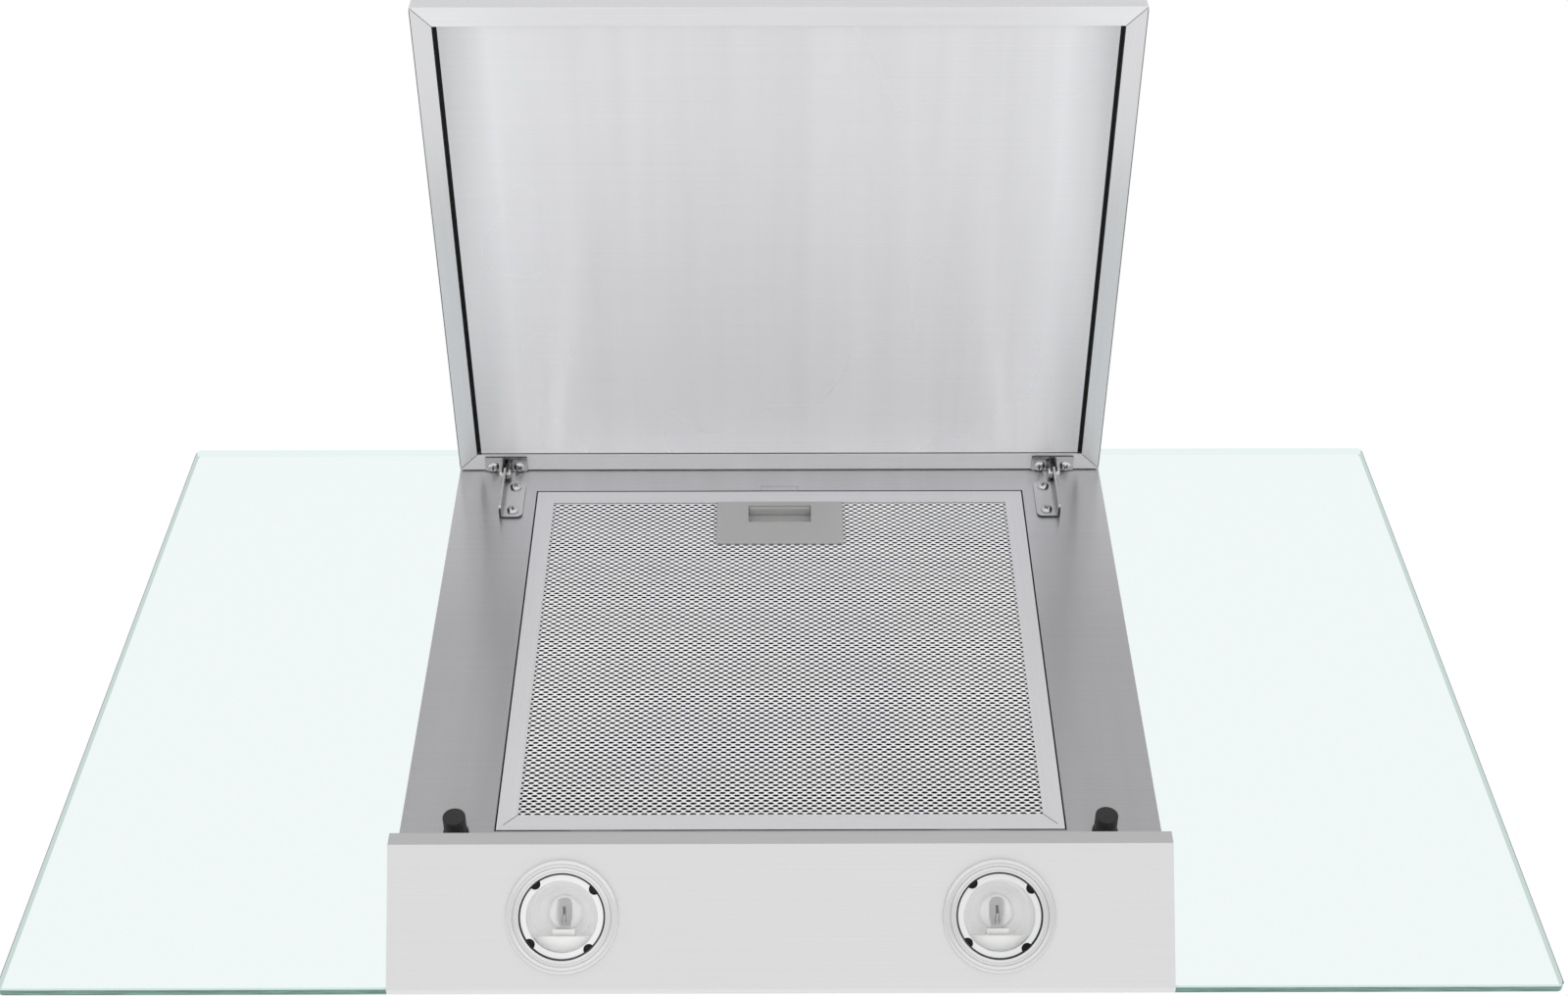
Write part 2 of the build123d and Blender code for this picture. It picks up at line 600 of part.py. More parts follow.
with BuildPart() as filter_frame:
    with BuildSketch(at_height(PLATE_Z)):
        with Locations((0, FILTER_MID_Y)):
            Rectangle(FILTER_WIDTH, FILTER_LENGTH)
            Rectangle(INNER_WIDTH, INNER_LENGTH, mode=Mode.SUBTRACT)
    extrude(amount=FILTER_THICKNESS)
    with BuildSketch(at_height(PACK_LOW_Z)):
        with Locations((0, FILTER_MID_Y)):
            Rectangle(PACK_WIDTH, PACK_LENGTH)
    extrude(amount=PACK_HEIGHT, mode=Mode.SUBTRACT)
    with BuildSketch(at_height(TAB_Z)):
        with Locations((-TAB_SPREAD / 2, FILTER_FRONT_Y - TAB_REACH / 2 + FILTER_SHEET / 2),
                       (TAB_SPREAD / 2, FILTER_FRONT_Y - TAB_REACH / 2 + FILTER_SHEET / 2)):
            Rectangle(TAB_WIDTH, TAB_REACH + FILTER_SHEET)
    extrude(amount=TAB_THICKNESS)
    with BuildSketch(at_depth(FILTER_REAR_Y)):
        with Locations((0, (LATCH_LOW_Z + LATCH_HIGH_Z) / 2)):
            Rectangle(SLOT_WIDTH, LATCH_THICKNESS + 2 * LATCH_GAP)
    extrude(amount=FILTER_SHEET, mode=Mode.SUBTRACT)
filter_frame.part.label = "filter_frame"
export_step(filter_frame.part, "parts/filter_frame.step")

# The handle's well stands in an opening through the lower mesh and part of the core
WELL_WIDTH = POCKET_WIDTH + 2 * POCKET_WALL
WELL_HIGH_Z = PACK_LOW_Z + HANDLE_DEPTH
WELL_FRONT_Y = HANDLE_REAR_Y - POCKET_SETBACK - POCKET_LENGTH - POCKET_WALL
WELL_LENGTH = FILTER_REAR_Y - FILTER_SHEET - WELL_FRONT_Y
WELL_MID_Y = WELL_FRONT_Y + WELL_LENGTH / 2

with BuildPart() as lower_mesh:
    with BuildSketch(at_height(PACK_LOW_Z)):
        with Locations((0, FILTER_MID_Y)):
            Rectangle(PACK_WIDTH, PACK_LENGTH)
            with GridLocations(MESH_STEP_X, MESH_STEP_Y, MESH_COLUMNS, MESH_ROWS):
                SlotOverall(MESH_HOLE_ACROSS, MESH_HOLE_ALONG, mode=Mode.SUBTRACT)
        with Locations((0, HANDLE_MID_Y)):
            Rectangle(HANDLE_WIDTH, HANDLE_LENGTH)
        with Locations((0, WELL_MID_Y)):
            Rectangle(WELL_WIDTH, WELL_LENGTH, mode=Mode.SUBTRACT)
    extrude(amount=MESH_SHEET)
lower_mesh.part.label = "filter_mesh_lower"
export_step(lower_mesh.part, "parts/filter_mesh_lower.step")

# Core: crimped foil, folded in ridges that run from front to back
CORE_LOW_Z = PACK_LOW_Z + MESH_SHEET
RIDGE_STEP = PACK_WIDTH / (2 * CORE_RIDGES)
RIDGE = [(-PACK_WIDTH / 2 + i * RIDGE_STEP, CORE_LOW_Z + i % 2 * (CORE_HEIGHT - CORE_SHEET))
         for i in range(2 * CORE_RIDGES + 1)]

with BuildPart() as core:
    with BuildSketch(at_depth(FILTER_REAR_Y - FILTER_SHEET)):
        with BuildLine():
            Polyline(*RIDGE, *[(x, z + CORE_SHEET) for x, z in reversed(RIDGE)], close=True)
        make_face()
    extrude(amount=PACK_LENGTH)
    with BuildSketch(at_height(CORE_LOW_Z)):
        with Locations((0, WELL_MID_Y)):
            Rectangle(WELL_WIDTH, WELL_LENGTH)
    extrude(amount=CORE_HEIGHT, mode=Mode.SUBTRACT)
core.part.label = "filter_core"
export_step(core.part, "parts/filter_core.step")

with BuildPart() as upper_mesh:
    with BuildSketch(at_height(CORE_LOW_Z + CORE_HEIGHT)):
        with Locations((0, FILTER_MID_Y)):
            Rectangle(PACK_WIDTH, PACK_LENGTH)
            with GridLocations(MESH_STEP_X, MESH_STEP_Y, MESH_COLUMNS, MESH_ROWS):
                SlotOverall(MESH_HOLE_ACROSS, MESH_HOLE_ALONG, mode=Mode.SUBTRACT)
        with Locations((0, HANDLE_MID_Y)):
            Rectangle(HANDLE_WIDTH, HANDLE_LENGTH)
    extrude(amount=MESH_SHEET)
upper_mesh.part.label = "filter_mesh_upper"
export_step(upper_mesh.part, "parts/filter_mesh_upper.step")

# Filter handle: face plate with a finger pocket, and a well behind it that guides the latch.
# A post in the latch's channel is the front stop of the latch spring.
CHANNEL_LOW_Z = LATCH_LOW_Z - LATCH_GAP
CHANNEL_HIGH_Z = LATCH_HIGH_Z + LATCH_GAP
POCKET_REAR_Y = HANDLE_REAR_Y - POCKET_SETBACK
STOP_REAR_Y = POCKET_REAR_Y + STOP_SETBACK + STOP_LENGTH
WINDOW_REAR_Y = STOP_REAR_Y + SPRING_LENGTH

with BuildPart() as handle:
    with BuildSketch(at_height(PACK_LOW_Z)):
        with Locations((0, HANDLE_MID_Y)):
            Rectangle(HANDLE_WIDTH, HANDLE_LENGTH)
    extrude(amount=-(FILTER_SHEET + HANDLE_PROUD))
    chamfer(handle.faces().sort_by(Axis.Z)[0].edges(), HANDLE_PROUD / 2)
    with BuildSketch(at_height(PACK_LOW_Z)):
        with Locations((0, WELL_MID_Y)):
            Rectangle(WELL_WIDTH, WELL_LENGTH)
    extrude(amount=HANDLE_DEPTH)
    with BuildSketch(at_height(PLATE_Z - HANDLE_PROUD)):
        with Locations((0, HANDLE_REAR_Y - POCKET_SETBACK - POCKET_LENGTH / 2)):
            Rectangle(POCKET_WIDTH, POCKET_LENGTH)
    extrude(amount=HANDLE_PROUD + FILTER_SHEET + HANDLE_DEPTH - POCKET_WALL, mode=Mode.SUBTRACT)
    with BuildSketch(at_depth(FILTER_REAR_Y)):
        with Locations((0, (CHANNEL_LOW_Z + CHANNEL_HIGH_Z) / 2)):
            Rectangle(SLOT_WIDTH, CHANNEL_HIGH_Z - CHANNEL_LOW_Z)
    extrude(amount=FILTER_REAR_Y - POCKET_REAR_Y + LATCH_GAP, mode=Mode.SUBTRACT)
    with BuildSketch(at_height(CHANNEL_LOW_Z)):
        with Locations((0, STOP_REAR_Y - STOP_LENGTH / 2)):
            Rectangle(STOP_WIDTH, STOP_LENGTH)
    extrude(amount=CHANNEL_HIGH_Z - CHANNEL_LOW_Z)
handle.part.label = "filter_handle"
export_step(handle.part, "parts/filter_handle.step")

# Latch: a tongue that slides in the handle's well, with a finger lip and a window for its spring
LIP_PLATE_Y = POCKET_REAR_Y - LATCH_GAP - LATCH_THICKNESS
TONGUE_TIP_Y = FILTER_REAR_Y + LATCH_REACH
WINDOW_FRONT_Y = STOP_REAR_Y - STOP_LENGTH - LATCH_GAP
WINDOW_WIDTH = max(STOP_WIDTH, 2 * (SPRING_RADIUS + SPRING_WIRE_RADIUS)) + 2 * LATCH_GAP
WELL_CEILING_Z = WELL_HIGH_Z - POCKET_WALL

with BuildPart() as latch:
    with BuildSketch(at_height(LATCH_LOW_Z)):
        with Locations((0, (LIP_PLATE_Y + TONGUE_TIP_Y) / 2)):
            Rectangle(LATCH_WIDTH, TONGUE_TIP_Y - LIP_PLATE_Y)
        with Locations((0, (WINDOW_FRONT_Y + WINDOW_REAR_Y) / 2)):
            Rectangle(WINDOW_WIDTH, WINDOW_REAR_Y - WINDOW_FRONT_Y, mode=Mode.SUBTRACT)
    extrude(amount=LATCH_THICKNESS)
    with BuildSketch(at_height(PLATE_Z)):
        with Locations((0, LIP_PLATE_Y + LATCH_THICKNESS / 2)):
            Rectangle(POCKET_WIDTH - 2 * LATCH_GAP, LATCH_THICKNESS)
    extrude(amount=WELL_CEILING_Z - LATCH_GAP - PLATE_Z)
    fillet(latch.edges().filter_by(Axis.X).group_by(Axis.Y)[-1].sort_by(Axis.Z)[-1], LATCH_THICKNESS / 2)
latch.part.label = "filter_latch"
export_step(latch.part, "parts/filter_latch.step")

# Latch spring: open coil in the tongue's window, from the post back to the window's rear edge
SPRING_Z = (LATCH_LOW_Z + LATCH_HIGH_Z) / 2
SPRING_RISE = SPRING_LENGTH - 2 * SPRING_WIRE_RADIUS

with BuildPart() as spring:
    with BuildLine() as coil:
        Helix(SPRING_RISE / SPRING_TURNS, SPRING_RISE, SPRING_RADIUS,
              center=(0, STOP_REAR_Y + SPRING_WIRE_RADIUS, SPRING_Z), direction=(0, 1, 0))
    with BuildSketch(Plane(origin=coil.line @ 0, z_dir=coil.line % 0)):
        Circle(SPRING_WIRE_RADIUS)
    sweep(path=coil.line, is_frenet=True)
spring.part.label = "latch_spring"
export_step(spring.part, "parts/latch_spring.step")

# Latch keeper: spring leaf that fills the pan's notch, with the tongue resting over it
NOTCH_FRONT_Y = FILTER_REAR_Y + FILTER_GAP
NOTCH_END_Y = NOTCH_FRONT_Y + NOTCH_LENGTH
KEEPER_BEND_Y = NOTCH_END_Y - LATCH_GAP / 2
KEEPER_WIDTH = NOTCH_WIDTH - LATCH_GAP
FLOOR_Z = PLATE_Z + SHEET

with BuildPart() as keeper:
    with BuildSketch(at_side(-KEEPER_WIDTH / 2)):
        with BuildLine():
            Polyline((NOTCH_FRONT_Y, PLATE_Z + KEEPER_THICKNESS), (NOTCH_FRONT_Y, PLATE_Z),
                     (KEEPER_BEND_Y, PLATE_Z), (KEEPER_BEND_Y, FLOOR_Z),
                     (NOTCH_END_Y + KEEPER_LENGTH, FLOOR_Z),
                     (NOTCH_END_Y + KEEPER_LENGTH, FLOOR_Z + KEEPER_THICKNESS),
                     (KEEPER_BEND_Y - KEEPER_THICKNESS, FLOOR_Z + KEEPER_THICKNESS),
                     (KEEPER_BEND_Y - KEEPER_THICKNESS, PLATE_Z + KEEPER_THICKNESS), close=True)
        make_face()
    extrude(amount=KEEPER_WIDTH)
keeper.part.label = "latch_keeper"
export_step(keeper.part, "parts/latch_keeper.step")

# Suction panel: tray with return flanges, liner set into it and damping core behind the liner
LINER_WIDTH = BODY_WIDTH - 2 * PANEL_FLANGE - 2 * LINER_SIDE_GAP
LINER_LENGTH = PANEL_LENGTH - 2 * PANEL_FLANGE - 2 * LINER_END_GAP
LINER_BACK_Y = PANEL_IN_Y + LINER_RECESS + LINER_SHEET

with BuildPart() as skin:
    with BuildSketch(at_depth(PANEL_OUT_Y)):
        with Locations((0, PANEL_MID_Z)):
            RectangleRounded(BODY_WIDTH, PANEL_LENGTH, PANEL_CORNER_RADIUS)
    extrude(amount=PANEL_THICKNESS)
    with BuildSketch(at_depth(PANEL_OUT_Y - PANEL_SHEET)):
        with Locations((0, PANEL_MID_Z)):
            Rectangle(BODY_WIDTH - 2 * PANEL_SHEET, PANEL_LENGTH - 2 * PANEL_SHEET)
    extrude(amount=PANEL_THICKNESS - 2 * PANEL_SHEET, mode=Mode.SUBTRACT)
    with BuildSketch(at_depth(PANEL_IN_Y + PANEL_SHEET)):
        with Locations((0, PANEL_MID_Z)):
            Rectangle(BODY_WIDTH - 2 * PANEL_FLANGE, PANEL_LENGTH - 2 * PANEL_FLANGE)
        with Locations(*HINGE_SCREW_SPOTS):
            Circle(SCREW_RADIUS)
    extrude(amount=PANEL_SHEET, mode=Mode.SUBTRACT)
skin.part.label = "panel_skin"
export_step(skin.part, "parts/panel_skin.step")

with BuildPart() as liner:
    with BuildSketch(at_depth(LINER_BACK_Y)):
        with Locations((0, PANEL_MID_Z)):
            Rectangle(LINER_WIDTH, LINER_LENGTH)
    extrude(amount=LINER_SHEET)
liner.part.label = "panel_liner"
export_step(liner.part, "parts/panel_liner.step")

with BuildPart() as damping:
    with BuildSketch(at_depth(PANEL_OUT_Y - PANEL_SHEET)):
        with Locations((0, PANEL_MID_Z)):
            Rectangle(LINER_WIDTH, LINER_LENGTH)
    extrude(amount=PANEL_OUT_Y - PANEL_SHEET - LINER_BACK_Y)
damping.part.label = "panel_core"
export_step(damping.part, "parts/panel_core.step")

# Hinges: a bent bracket under the pan, and a plate with two ears on the panel
EAR_SPREAD = LEG_THICKNESS + 2 * EAR_GAP + EAR_THICKNESS
PIN_HALF = EAR_SPREAD / 2 + EAR_THICKNESS / 2
PLATE_FACE_Y = PANEL_IN_Y - HINGE_PLATE_THICKNESS

for side, hinge_x in zip(("left", "right"), HINGE_X):
    inward = -hinge_x / abs(hinge_x)
    with BuildPart() as bracket:
        with BuildSketch(at_side(hinge_x - LEG_THICKNESS / 2)):
            with Locations((PIVOT_Y - LEG_LENGTH / 2, (PLATE_Z + PIVOT_Z - LEG_RADIUS) / 2)):
                Rectangle(LEG_LENGTH, PLATE_Z - PIVOT_Z + LEG_RADIUS)
            with Locations((PIVOT_Y, PIVOT_Z)):
                Circle(LEG_RADIUS)
                Circle(PIN_RADIUS + PIN_CLEARANCE, mode=Mode.SUBTRACT)
        extrude(amount=LEG_THICKNESS)
        fillet(bracket.edges().filter_by(Axis.X).group_by(Axis.Y)[0].sort_by(Axis.Z)[0], LEG_RADIUS)
        with BuildSketch(at_height(PLATE_Z - LEG_THICKNESS)):
            with Locations((hinge_x + inward * FOOT_WIDTH / 2, LEG_FRONT_Y + FOOT_LENGTH / 2)):
                Rectangle(FOOT_WIDTH, FOOT_LENGTH)
        extrude(amount=LEG_THICKNESS)
        foot_corners = bracket.edges().filter_by(Axis.Z).group_by(Axis.X)[-1 if inward > 0 else 0]
        fillet(foot_corners, FOOT_CORNER_RADIUS)
        with BuildSketch(at_height(PLATE_Z - LEG_THICKNESS)):
            with Locations(*FOOT_SCREW_SPOTS):
                Circle(SCREW_RADIUS)
        extrude(amount=LEG_THICKNESS, mode=Mode.SUBTRACT)
    bracket.part.label = f"hinge_bracket_{side}"
    export_step(bracket.part, f"parts/hinge_bracket_{side}.step")

    with BuildPart() as hinge_plate:
        with BuildSketch(at_depth(PANEL_IN_Y)):
            with Locations((hinge_x, PANEL_TOP_Z + HINGE_PLATE_TOP - HINGE_PLATE_HEIGHT / 2)):
                RectangleRounded(HINGE_PLATE_WIDTH, HINGE_PLATE_HEIGHT, HINGE_PLATE_THICKNESS)
            with Locations(*HINGE_SCREW_SPOTS):
                Circle(SCREW_RADIUS, mode=Mode.SUBTRACT)
        extrude(amount=HINGE_PLATE_THICKNESS)
        for ear_x in (hinge_x - EAR_SPREAD / 2, hinge_x + EAR_SPREAD / 2):
            with BuildSketch(at_side(ear_x - EAR_THICKNESS / 2)):
                with Locations(((PIVOT_Y + PANEL_IN_Y) / 2, PIVOT_Z)):
                    Rectangle(PANEL_IN_Y - PIVOT_Y, 2 * EAR_RADIUS)
                with Locations((PIVOT_Y, PIVOT_Z)):
                    Circle(EAR_RADIUS)
                    Circle(PIN_RADIUS, mode=Mode.SUBTRACT)
            extrude(amount=EAR_THICKNESS)
    hinge_plate.part.label = f"hinge_plate_{side}"
    export_step(hinge_plate.part, f"parts/hinge_plate_{side}.step")

with BuildPart() as pins:
    for hinge_x in HINGE_X:
        with BuildSketch(at_side(hinge_x - PIN_HALF)):
            with Locations((PIVOT_Y, PIVOT_Z)):
                Circle(PIN_RADIUS)
        extrude(amount=2 * PIN_HALF)
        for head_x in (hinge_x - PIN_HALF - RIVET_HEIGHT, hinge_x + PIN_HALF):
            with BuildSketch(at_side(head_x)):
                with Locations((PIVOT_Y, PIVOT_Z)):
                    Circle(RIVET_RADIUS)
            extrude(amount=RIVET_HEIGHT)
pins.part.label = "hinge_pins"
export_step(pins.part, "parts/hinge_pins.step")

# Pan-head screws of the hinges
with BuildPart() as foot_screws:
    with BuildSketch(at_height(PLATE_Z - LEG_THICKNESS)):
        with Locations(*FOOT_SCREW_SPOTS):
            Circle(SCREW_RADIUS)
    extrude(amount=SCREW_LENGTH)
    with BuildSketch(at_height(PLATE_Z - LEG_THICKNESS)):
        with Locations(*FOOT_SCREW_SPOTS):
            Circle(SCREW_HEAD_RADIUS)
    extrude(amount=-SCREW_HEAD_HEIGHT)
    fillet(foot_screws.faces().group_by(Axis.Z)[0].edges(), SCREW_HEAD_ROUND)
foot_screws.part.label = "hinge_bracket_screws"
export_step(foot_screws.part, "parts/hinge_bracket_screws.step")

with BuildPart() as plate_screws:
    with BuildSketch(at_depth(PLATE_FACE_Y)):
        with Locations(*HINGE_SCREW_SPOTS):
            Circle(SCREW_RADIUS)
    extrude(amount=-SCREW_LENGTH)
    with BuildSketch(at_depth(PLATE_FACE_Y)):
        with Locations(*HINGE_SCREW_SPOTS):
            Circle(SCREW_HEAD_RADIUS)
    extrude(amount=SCREW_HEAD_HEIGHT)
    fillet(plate_screws.faces().group_by(Axis.Y)[0].edges(), SCREW_HEAD_ROUND)
plate_screws.part.label = "hinge_plate_screws"
export_step(plate_screws.part, "parts/hinge_plate_screws.step")

# Magnetic catches: they meet the liner just inside the closed panel's front flange
CATCH_LOW_Z = PIVOT_Z - PIVOT_INSET - LINER_RECESS + CATCH_GAP
CATCH_Y = LIP_REAR_Y + PANEL_GAP + PANEL_FLANGE + CATCH_FLANGE_GAP + CATCH_RADIUS
CATCH_SPOTS = [(-CATCH_SPREAD / 2, CATCH_Y), (CATCH_SPREAD / 2, CATCH_Y)]

with BuildPart() as catches:
    with BuildSketch(at_height(PLATE_Z)):
        with Locations(*CATCH_SPOTS):
            Circle(CATCH_RADIUS)
    extrude(amount=CATCH_LOW_Z - PLATE_Z)
    fillet(catches.faces().group_by(Axis.Z)[0].edges(), SHEET / 2)
    with BuildSketch(at_height(PLATE_Z)):
        with Locations(*CATCH_SPOTS):
            Circle(CATCH_FOOT_RADIUS)
    extrude(amount=-CATCH_FOOT_HEIGHT)
catches.part.label = "panel_catches"
export_step(catches.part, "parts/panel_catches.step")

# Upper housing: folded box on top of the glass, with holes for the buttons and air, and board posts
BOARD_WIDTH = BUTTON_PITCH * (BUTTON_COUNT - 1) + 2 * BOARD_MARGIN
POST_SPOTS = [(x * (BOARD_WIDTH / 2 - POST_INSET), BUTTON_Z + z * (BOARD_HEIGHT / 2 - POST_INSET))
              for x in (-1, 1) for z in (-1, 1)]
POST_LENGTH = BOARD_Y - UPPER_FRONT_Y - SHEET / 2

with BuildPart() as housing:
    with BuildSketch(at_height(UPPER_FLOOR_Z)) as outline:
        with Locations((0, UPPER_MID_Y)):
            Rectangle(BODY_WIDTH, UPPER_LENGTH)
        fillet(outline.vertices().group_by(Axis.Y)[0], UPPER_CORNER_RADIUS)
    extrude(amount=UPPER_HEIGHT)
    with BuildSketch(at_height(UPPER_FLOOR_Z + SHEET)) as outline:
        with Locations((0, UPPER_MID_Y)):
            Rectangle(BODY_WIDTH - 2 * SHEET, UPPER_LENGTH - 2 * SHEET)
        fillet(outline.vertices().group_by(Axis.Y)[0], UPPER_CORNER_RADIUS - SHEET)
    extrude(amount=UPPER_HEIGHT - 2 * SHEET, mode=Mode.SUBTRACT)
    with BuildSketch(at_height(UPPER_FLOOR_Z)):
        with Locations((0, UPPER_MID_Y)):
            Rectangle(BODY_WIDTH - 2 * FLANGE_WIDTH, UPPER_LENGTH - 2 * FLANGE_WIDTH)
        with Locations(*FIXING_SPOTS):
            Circle(FIXING_HOLE_RADIUS)
    extrude(amount=SHEET, mode=Mode.SUBTRACT)
    with BuildSketch(at_height(UPPER_TOP_Z)):
        with Locations((0, BOX_MID_Y)):
            Rectangle(AIR_HOLE_WIDTH, AIR_HOLE_DEPTH)
    extrude(amount=-SHEET, mode=Mode.SUBTRACT)
    with BuildSketch(at_depth(UPPER_FRONT_Y)):
        with Locations(*[(x, BUTTON_Z) for x in BUTTON_X]):
            Circle(BUTTON_RADIUS + BUTTON_GAP)
    extrude(amount=-SHEET, mode=Mode.SUBTRACT)
    with BuildSketch(at_depth(UPPER_FRONT_Y + SHEET / 2)):
        with Locations(*POST_SPOTS):
            Circle(POST_RADIUS)
    extrude(amount=-POST_LENGTH)
housing.part.label = "upper_housing"
export_step(housing.part, "parts/upper_housing.step")

# Push buttons in the housing's front, each with a flange behind the sheet
for number, button_x in enumerate(BUTTON_X, 1):
    with BuildPart() as button:
        with BuildSketch(at_depth(BUTTON_BACK_Y)):
            with Locations((button_x, BUTTON_Z)):
                Circle(BUTTON_RADIUS)
        extrude(amount=BUTTON_LENGTH)
        fillet(button.faces().sort_by(Axis.Y)[0].edges(), BUTTON_EDGE_ROUND)
        with BuildSketch(at_depth(UPPER_FRONT_Y + SHEET + BUTTON_GAP)):
            with Locations((button_x, BUTTON_Z)):
                Circle(BUTTON_RADIUS + BUTTON_FLANGE)
        extrude(amount=-BUTTON_FLANGE)
    button.part.label = f"button_{number}"
    export_step(button.part, f"parts/button_{number}.step")

# Control board on the posts, with a switch behind each button
with BuildPart() as board:
    with BuildSketch(at_depth(BOARD_Y)):
        with Locations((0, BUTTON_Z)):
            Rectangle(BOARD_WIDTH, BOARD_HEIGHT)
    extrude(amount=-BOARD_THICKNESS)
    with BuildSketch(at_depth(BOARD_Y)):
        with Locations(*[(x, BUTTON_Z) for x in BUTTON_X]):
            Rectangle(SWITCH_SIDE, SWITCH_SIDE)
    extrude(amount=SWITCH_HEIGHT)
board.part.label = "control_board"
export_step(board.part, "parts/control_board.step")

# Lamp transformer hung from the housing's top
TRANSFORMER_X = BODY_WIDTH / 2 - SHEET - TRANSFORMER_TO_SIDE - TRANSFORMER_WIDTH / 2
TRANSFORMER_Y = UPPER_FRONT_Y + SHEET + TRANSFORMER_TO_FRONT + TRANSFORMER_LENGTH / 2
CEILING_Z = UPPER_TOP_Z - SHEET

with BuildPart() as transformer:
    with BuildSketch(at_height(CEILING_Z)):
        with Locations((TRANSFORMER_X, TRANSFORMER_Y)):
            Rectangle(TRANSFORMER_WIDTH, TRANSFORMER_LENGTH)
    extrude(amount=-TRANSFORMER_HEIGHT)
    fillet(transformer.edges().filter_by(Axis.Z), SHEET)
    with BuildSketch(at_height(CEILING_Z)):
        with Locations((TRANSFORMER_X, TRANSFORMER_Y)):
            Rectangle(TRANSFORMER_WIDTH, TRANSFORMER_LENGTH + 2 * TRANSFORMER_FOOT)
    extrude(amount=-TRANSFORMER_FOOT_THICKNESS)
transformer.part.label = "lamp_transformer"
export_step(transformer.part, "parts/lamp_transformer.step")

# Motor box: four walls on the upper housing, open below over the air hole
GLAND_Y = -GLAND_TO_WALL
OUTLET_WIDTH = SCROLL_WIDTH - 2 * SCROLL_WALL
OUTLET_FRONT_Y = BLOWER_Y + SCROLL_START_RADIUS * cos(radians(SCROLL_START))
OUTLET_REAR_Y = BLOWER_Y + SCROLL_END_RADIUS
BOX_CEILING_Z = BOX_TOP_Z - SHEET

with BuildPart() as motor_box:
    with BuildSketch(at_height(UPPER_TOP_Z)):
        with Locations((0, BOX_MID_Y)):
            Rectangle(BOX_WIDTH, BOX_DEPTH)
            Rectangle(BOX_WIDTH - 2 * SHEET, BOX_DEPTH - 2 * SHEET, mode=Mode.SUBTRACT)
    extrude(amount=BOX_HEIGHT - SHEET)
    with BuildSketch(at_depth(GLASS_REAR_Y)):
        with Locations(*WALL_HOLE_SPOTS):
            Circle(WALL_HOLE_RADIUS)
    extrude(amount=SHEET, mode=Mode.SUBTRACT)
motor_box.part.label = "motor_box"
export_step(motor_box.part, "parts/motor_box.step")

# Lid of the motor box, with the scroll's outlet and the gland hole
with BuildPart() as box_lid:
    with BuildSketch(at_height(BOX_CEILING_Z)):
        with Locations((0, BOX_MID_Y)):
            Rectangle(BOX_WIDTH, BOX_DEPTH)
        with Locations((0, (OUTLET_FRONT_Y + OUTLET_REAR_Y) / 2)):
            Rectangle(OUTLET_WIDTH, OUTLET_REAR_Y - OUTLET_FRONT_Y, mode=Mode.SUBTRACT)
        with Locations((GLAND_X, GLAND_Y)):
            Circle(GLAND_THREAD_RADIUS, mode=Mode.SUBTRACT)
    extrude(amount=SHEET)
box_lid.part.label = "motor_box_lid"
export_step(box_lid.part, "parts/motor_box_lid.step")


# Blower scroll: its radius grows from the cut-off round to the neck, which rises to the box's top
def scroll_radius(angle):
    """Inside radius of the scroll at an angle from the wall side, in degrees."""
    return SCROLL_START_RADIUS + SCROLL_SPREAD * (angle - SCROLL_START) / (360 - SCROLL_START)


SCROLL_ANGLES = [SCROLL_START + (360 - SCROLL_START) * i / SCROLL_STEPS
                 for i in range(SCROLL_STEPS + 1)]

with BuildPart() as scroll:
    for width, wall, neck_top, mode in (
            (SCROLL_WIDTH, SCROLL_WALL, BOX_CEILING_Z, Mode.ADD),
            (OUTLET_WIDTH, 0, BOX_CEILING_Z, Mode.SUBTRACT)):
        spiral = [(BLOWER_Y + (scroll_radius(a) + wall) * cos(radians(a)),
                   BLOWER_Z + (scroll_radius(a) + wall) * sin(radians(a))) for a in SCROLL_ANGLES]
        with BuildSketch(at_side(-width / 2)):
            with BuildLine():
                Spline(*spiral)
                Polyline(spiral[-1], (BLOWER_Y, BLOWER_Z), spiral[0])
            make_face()
            with Locations((BLOWER_Y, BLOWER_Z)):
                Circle(SCROLL_START_RADIUS + wall)
            with Locations(((OUTLET_FRONT_Y + OUTLET_REAR_Y) / 2, (BLOWER_Z + neck_top) / 2)):
                Rectangle(OUTLET_REAR_Y - OUTLET_FRONT_Y + 2 * wall, neck_top - BLOWER_Z)
        extrude(amount=width, mode=mode)
    with BuildSketch(at_side(-SCROLL_WIDTH / 2)):
        with Locations((BLOWER_Y, BLOWER_Z)):
            Circle(INLET_RADIUS)
    extrude(amount=SCROLL_WIDTH, mode=Mode.SUBTRACT)
scroll.part.label = "blower_scroll"
export_step(scroll.part, "parts/blower_scroll.step")

# Impeller: two rings, forward-leaning blades, a middle disc, hub and shaft
BLADE_RADIUS = IMPELLER_RADIUS - BLADE_DEPTH / 2
MOTOR_FACE_X = MOTOR_LENGTH - SCROLL_WIDTH / 2

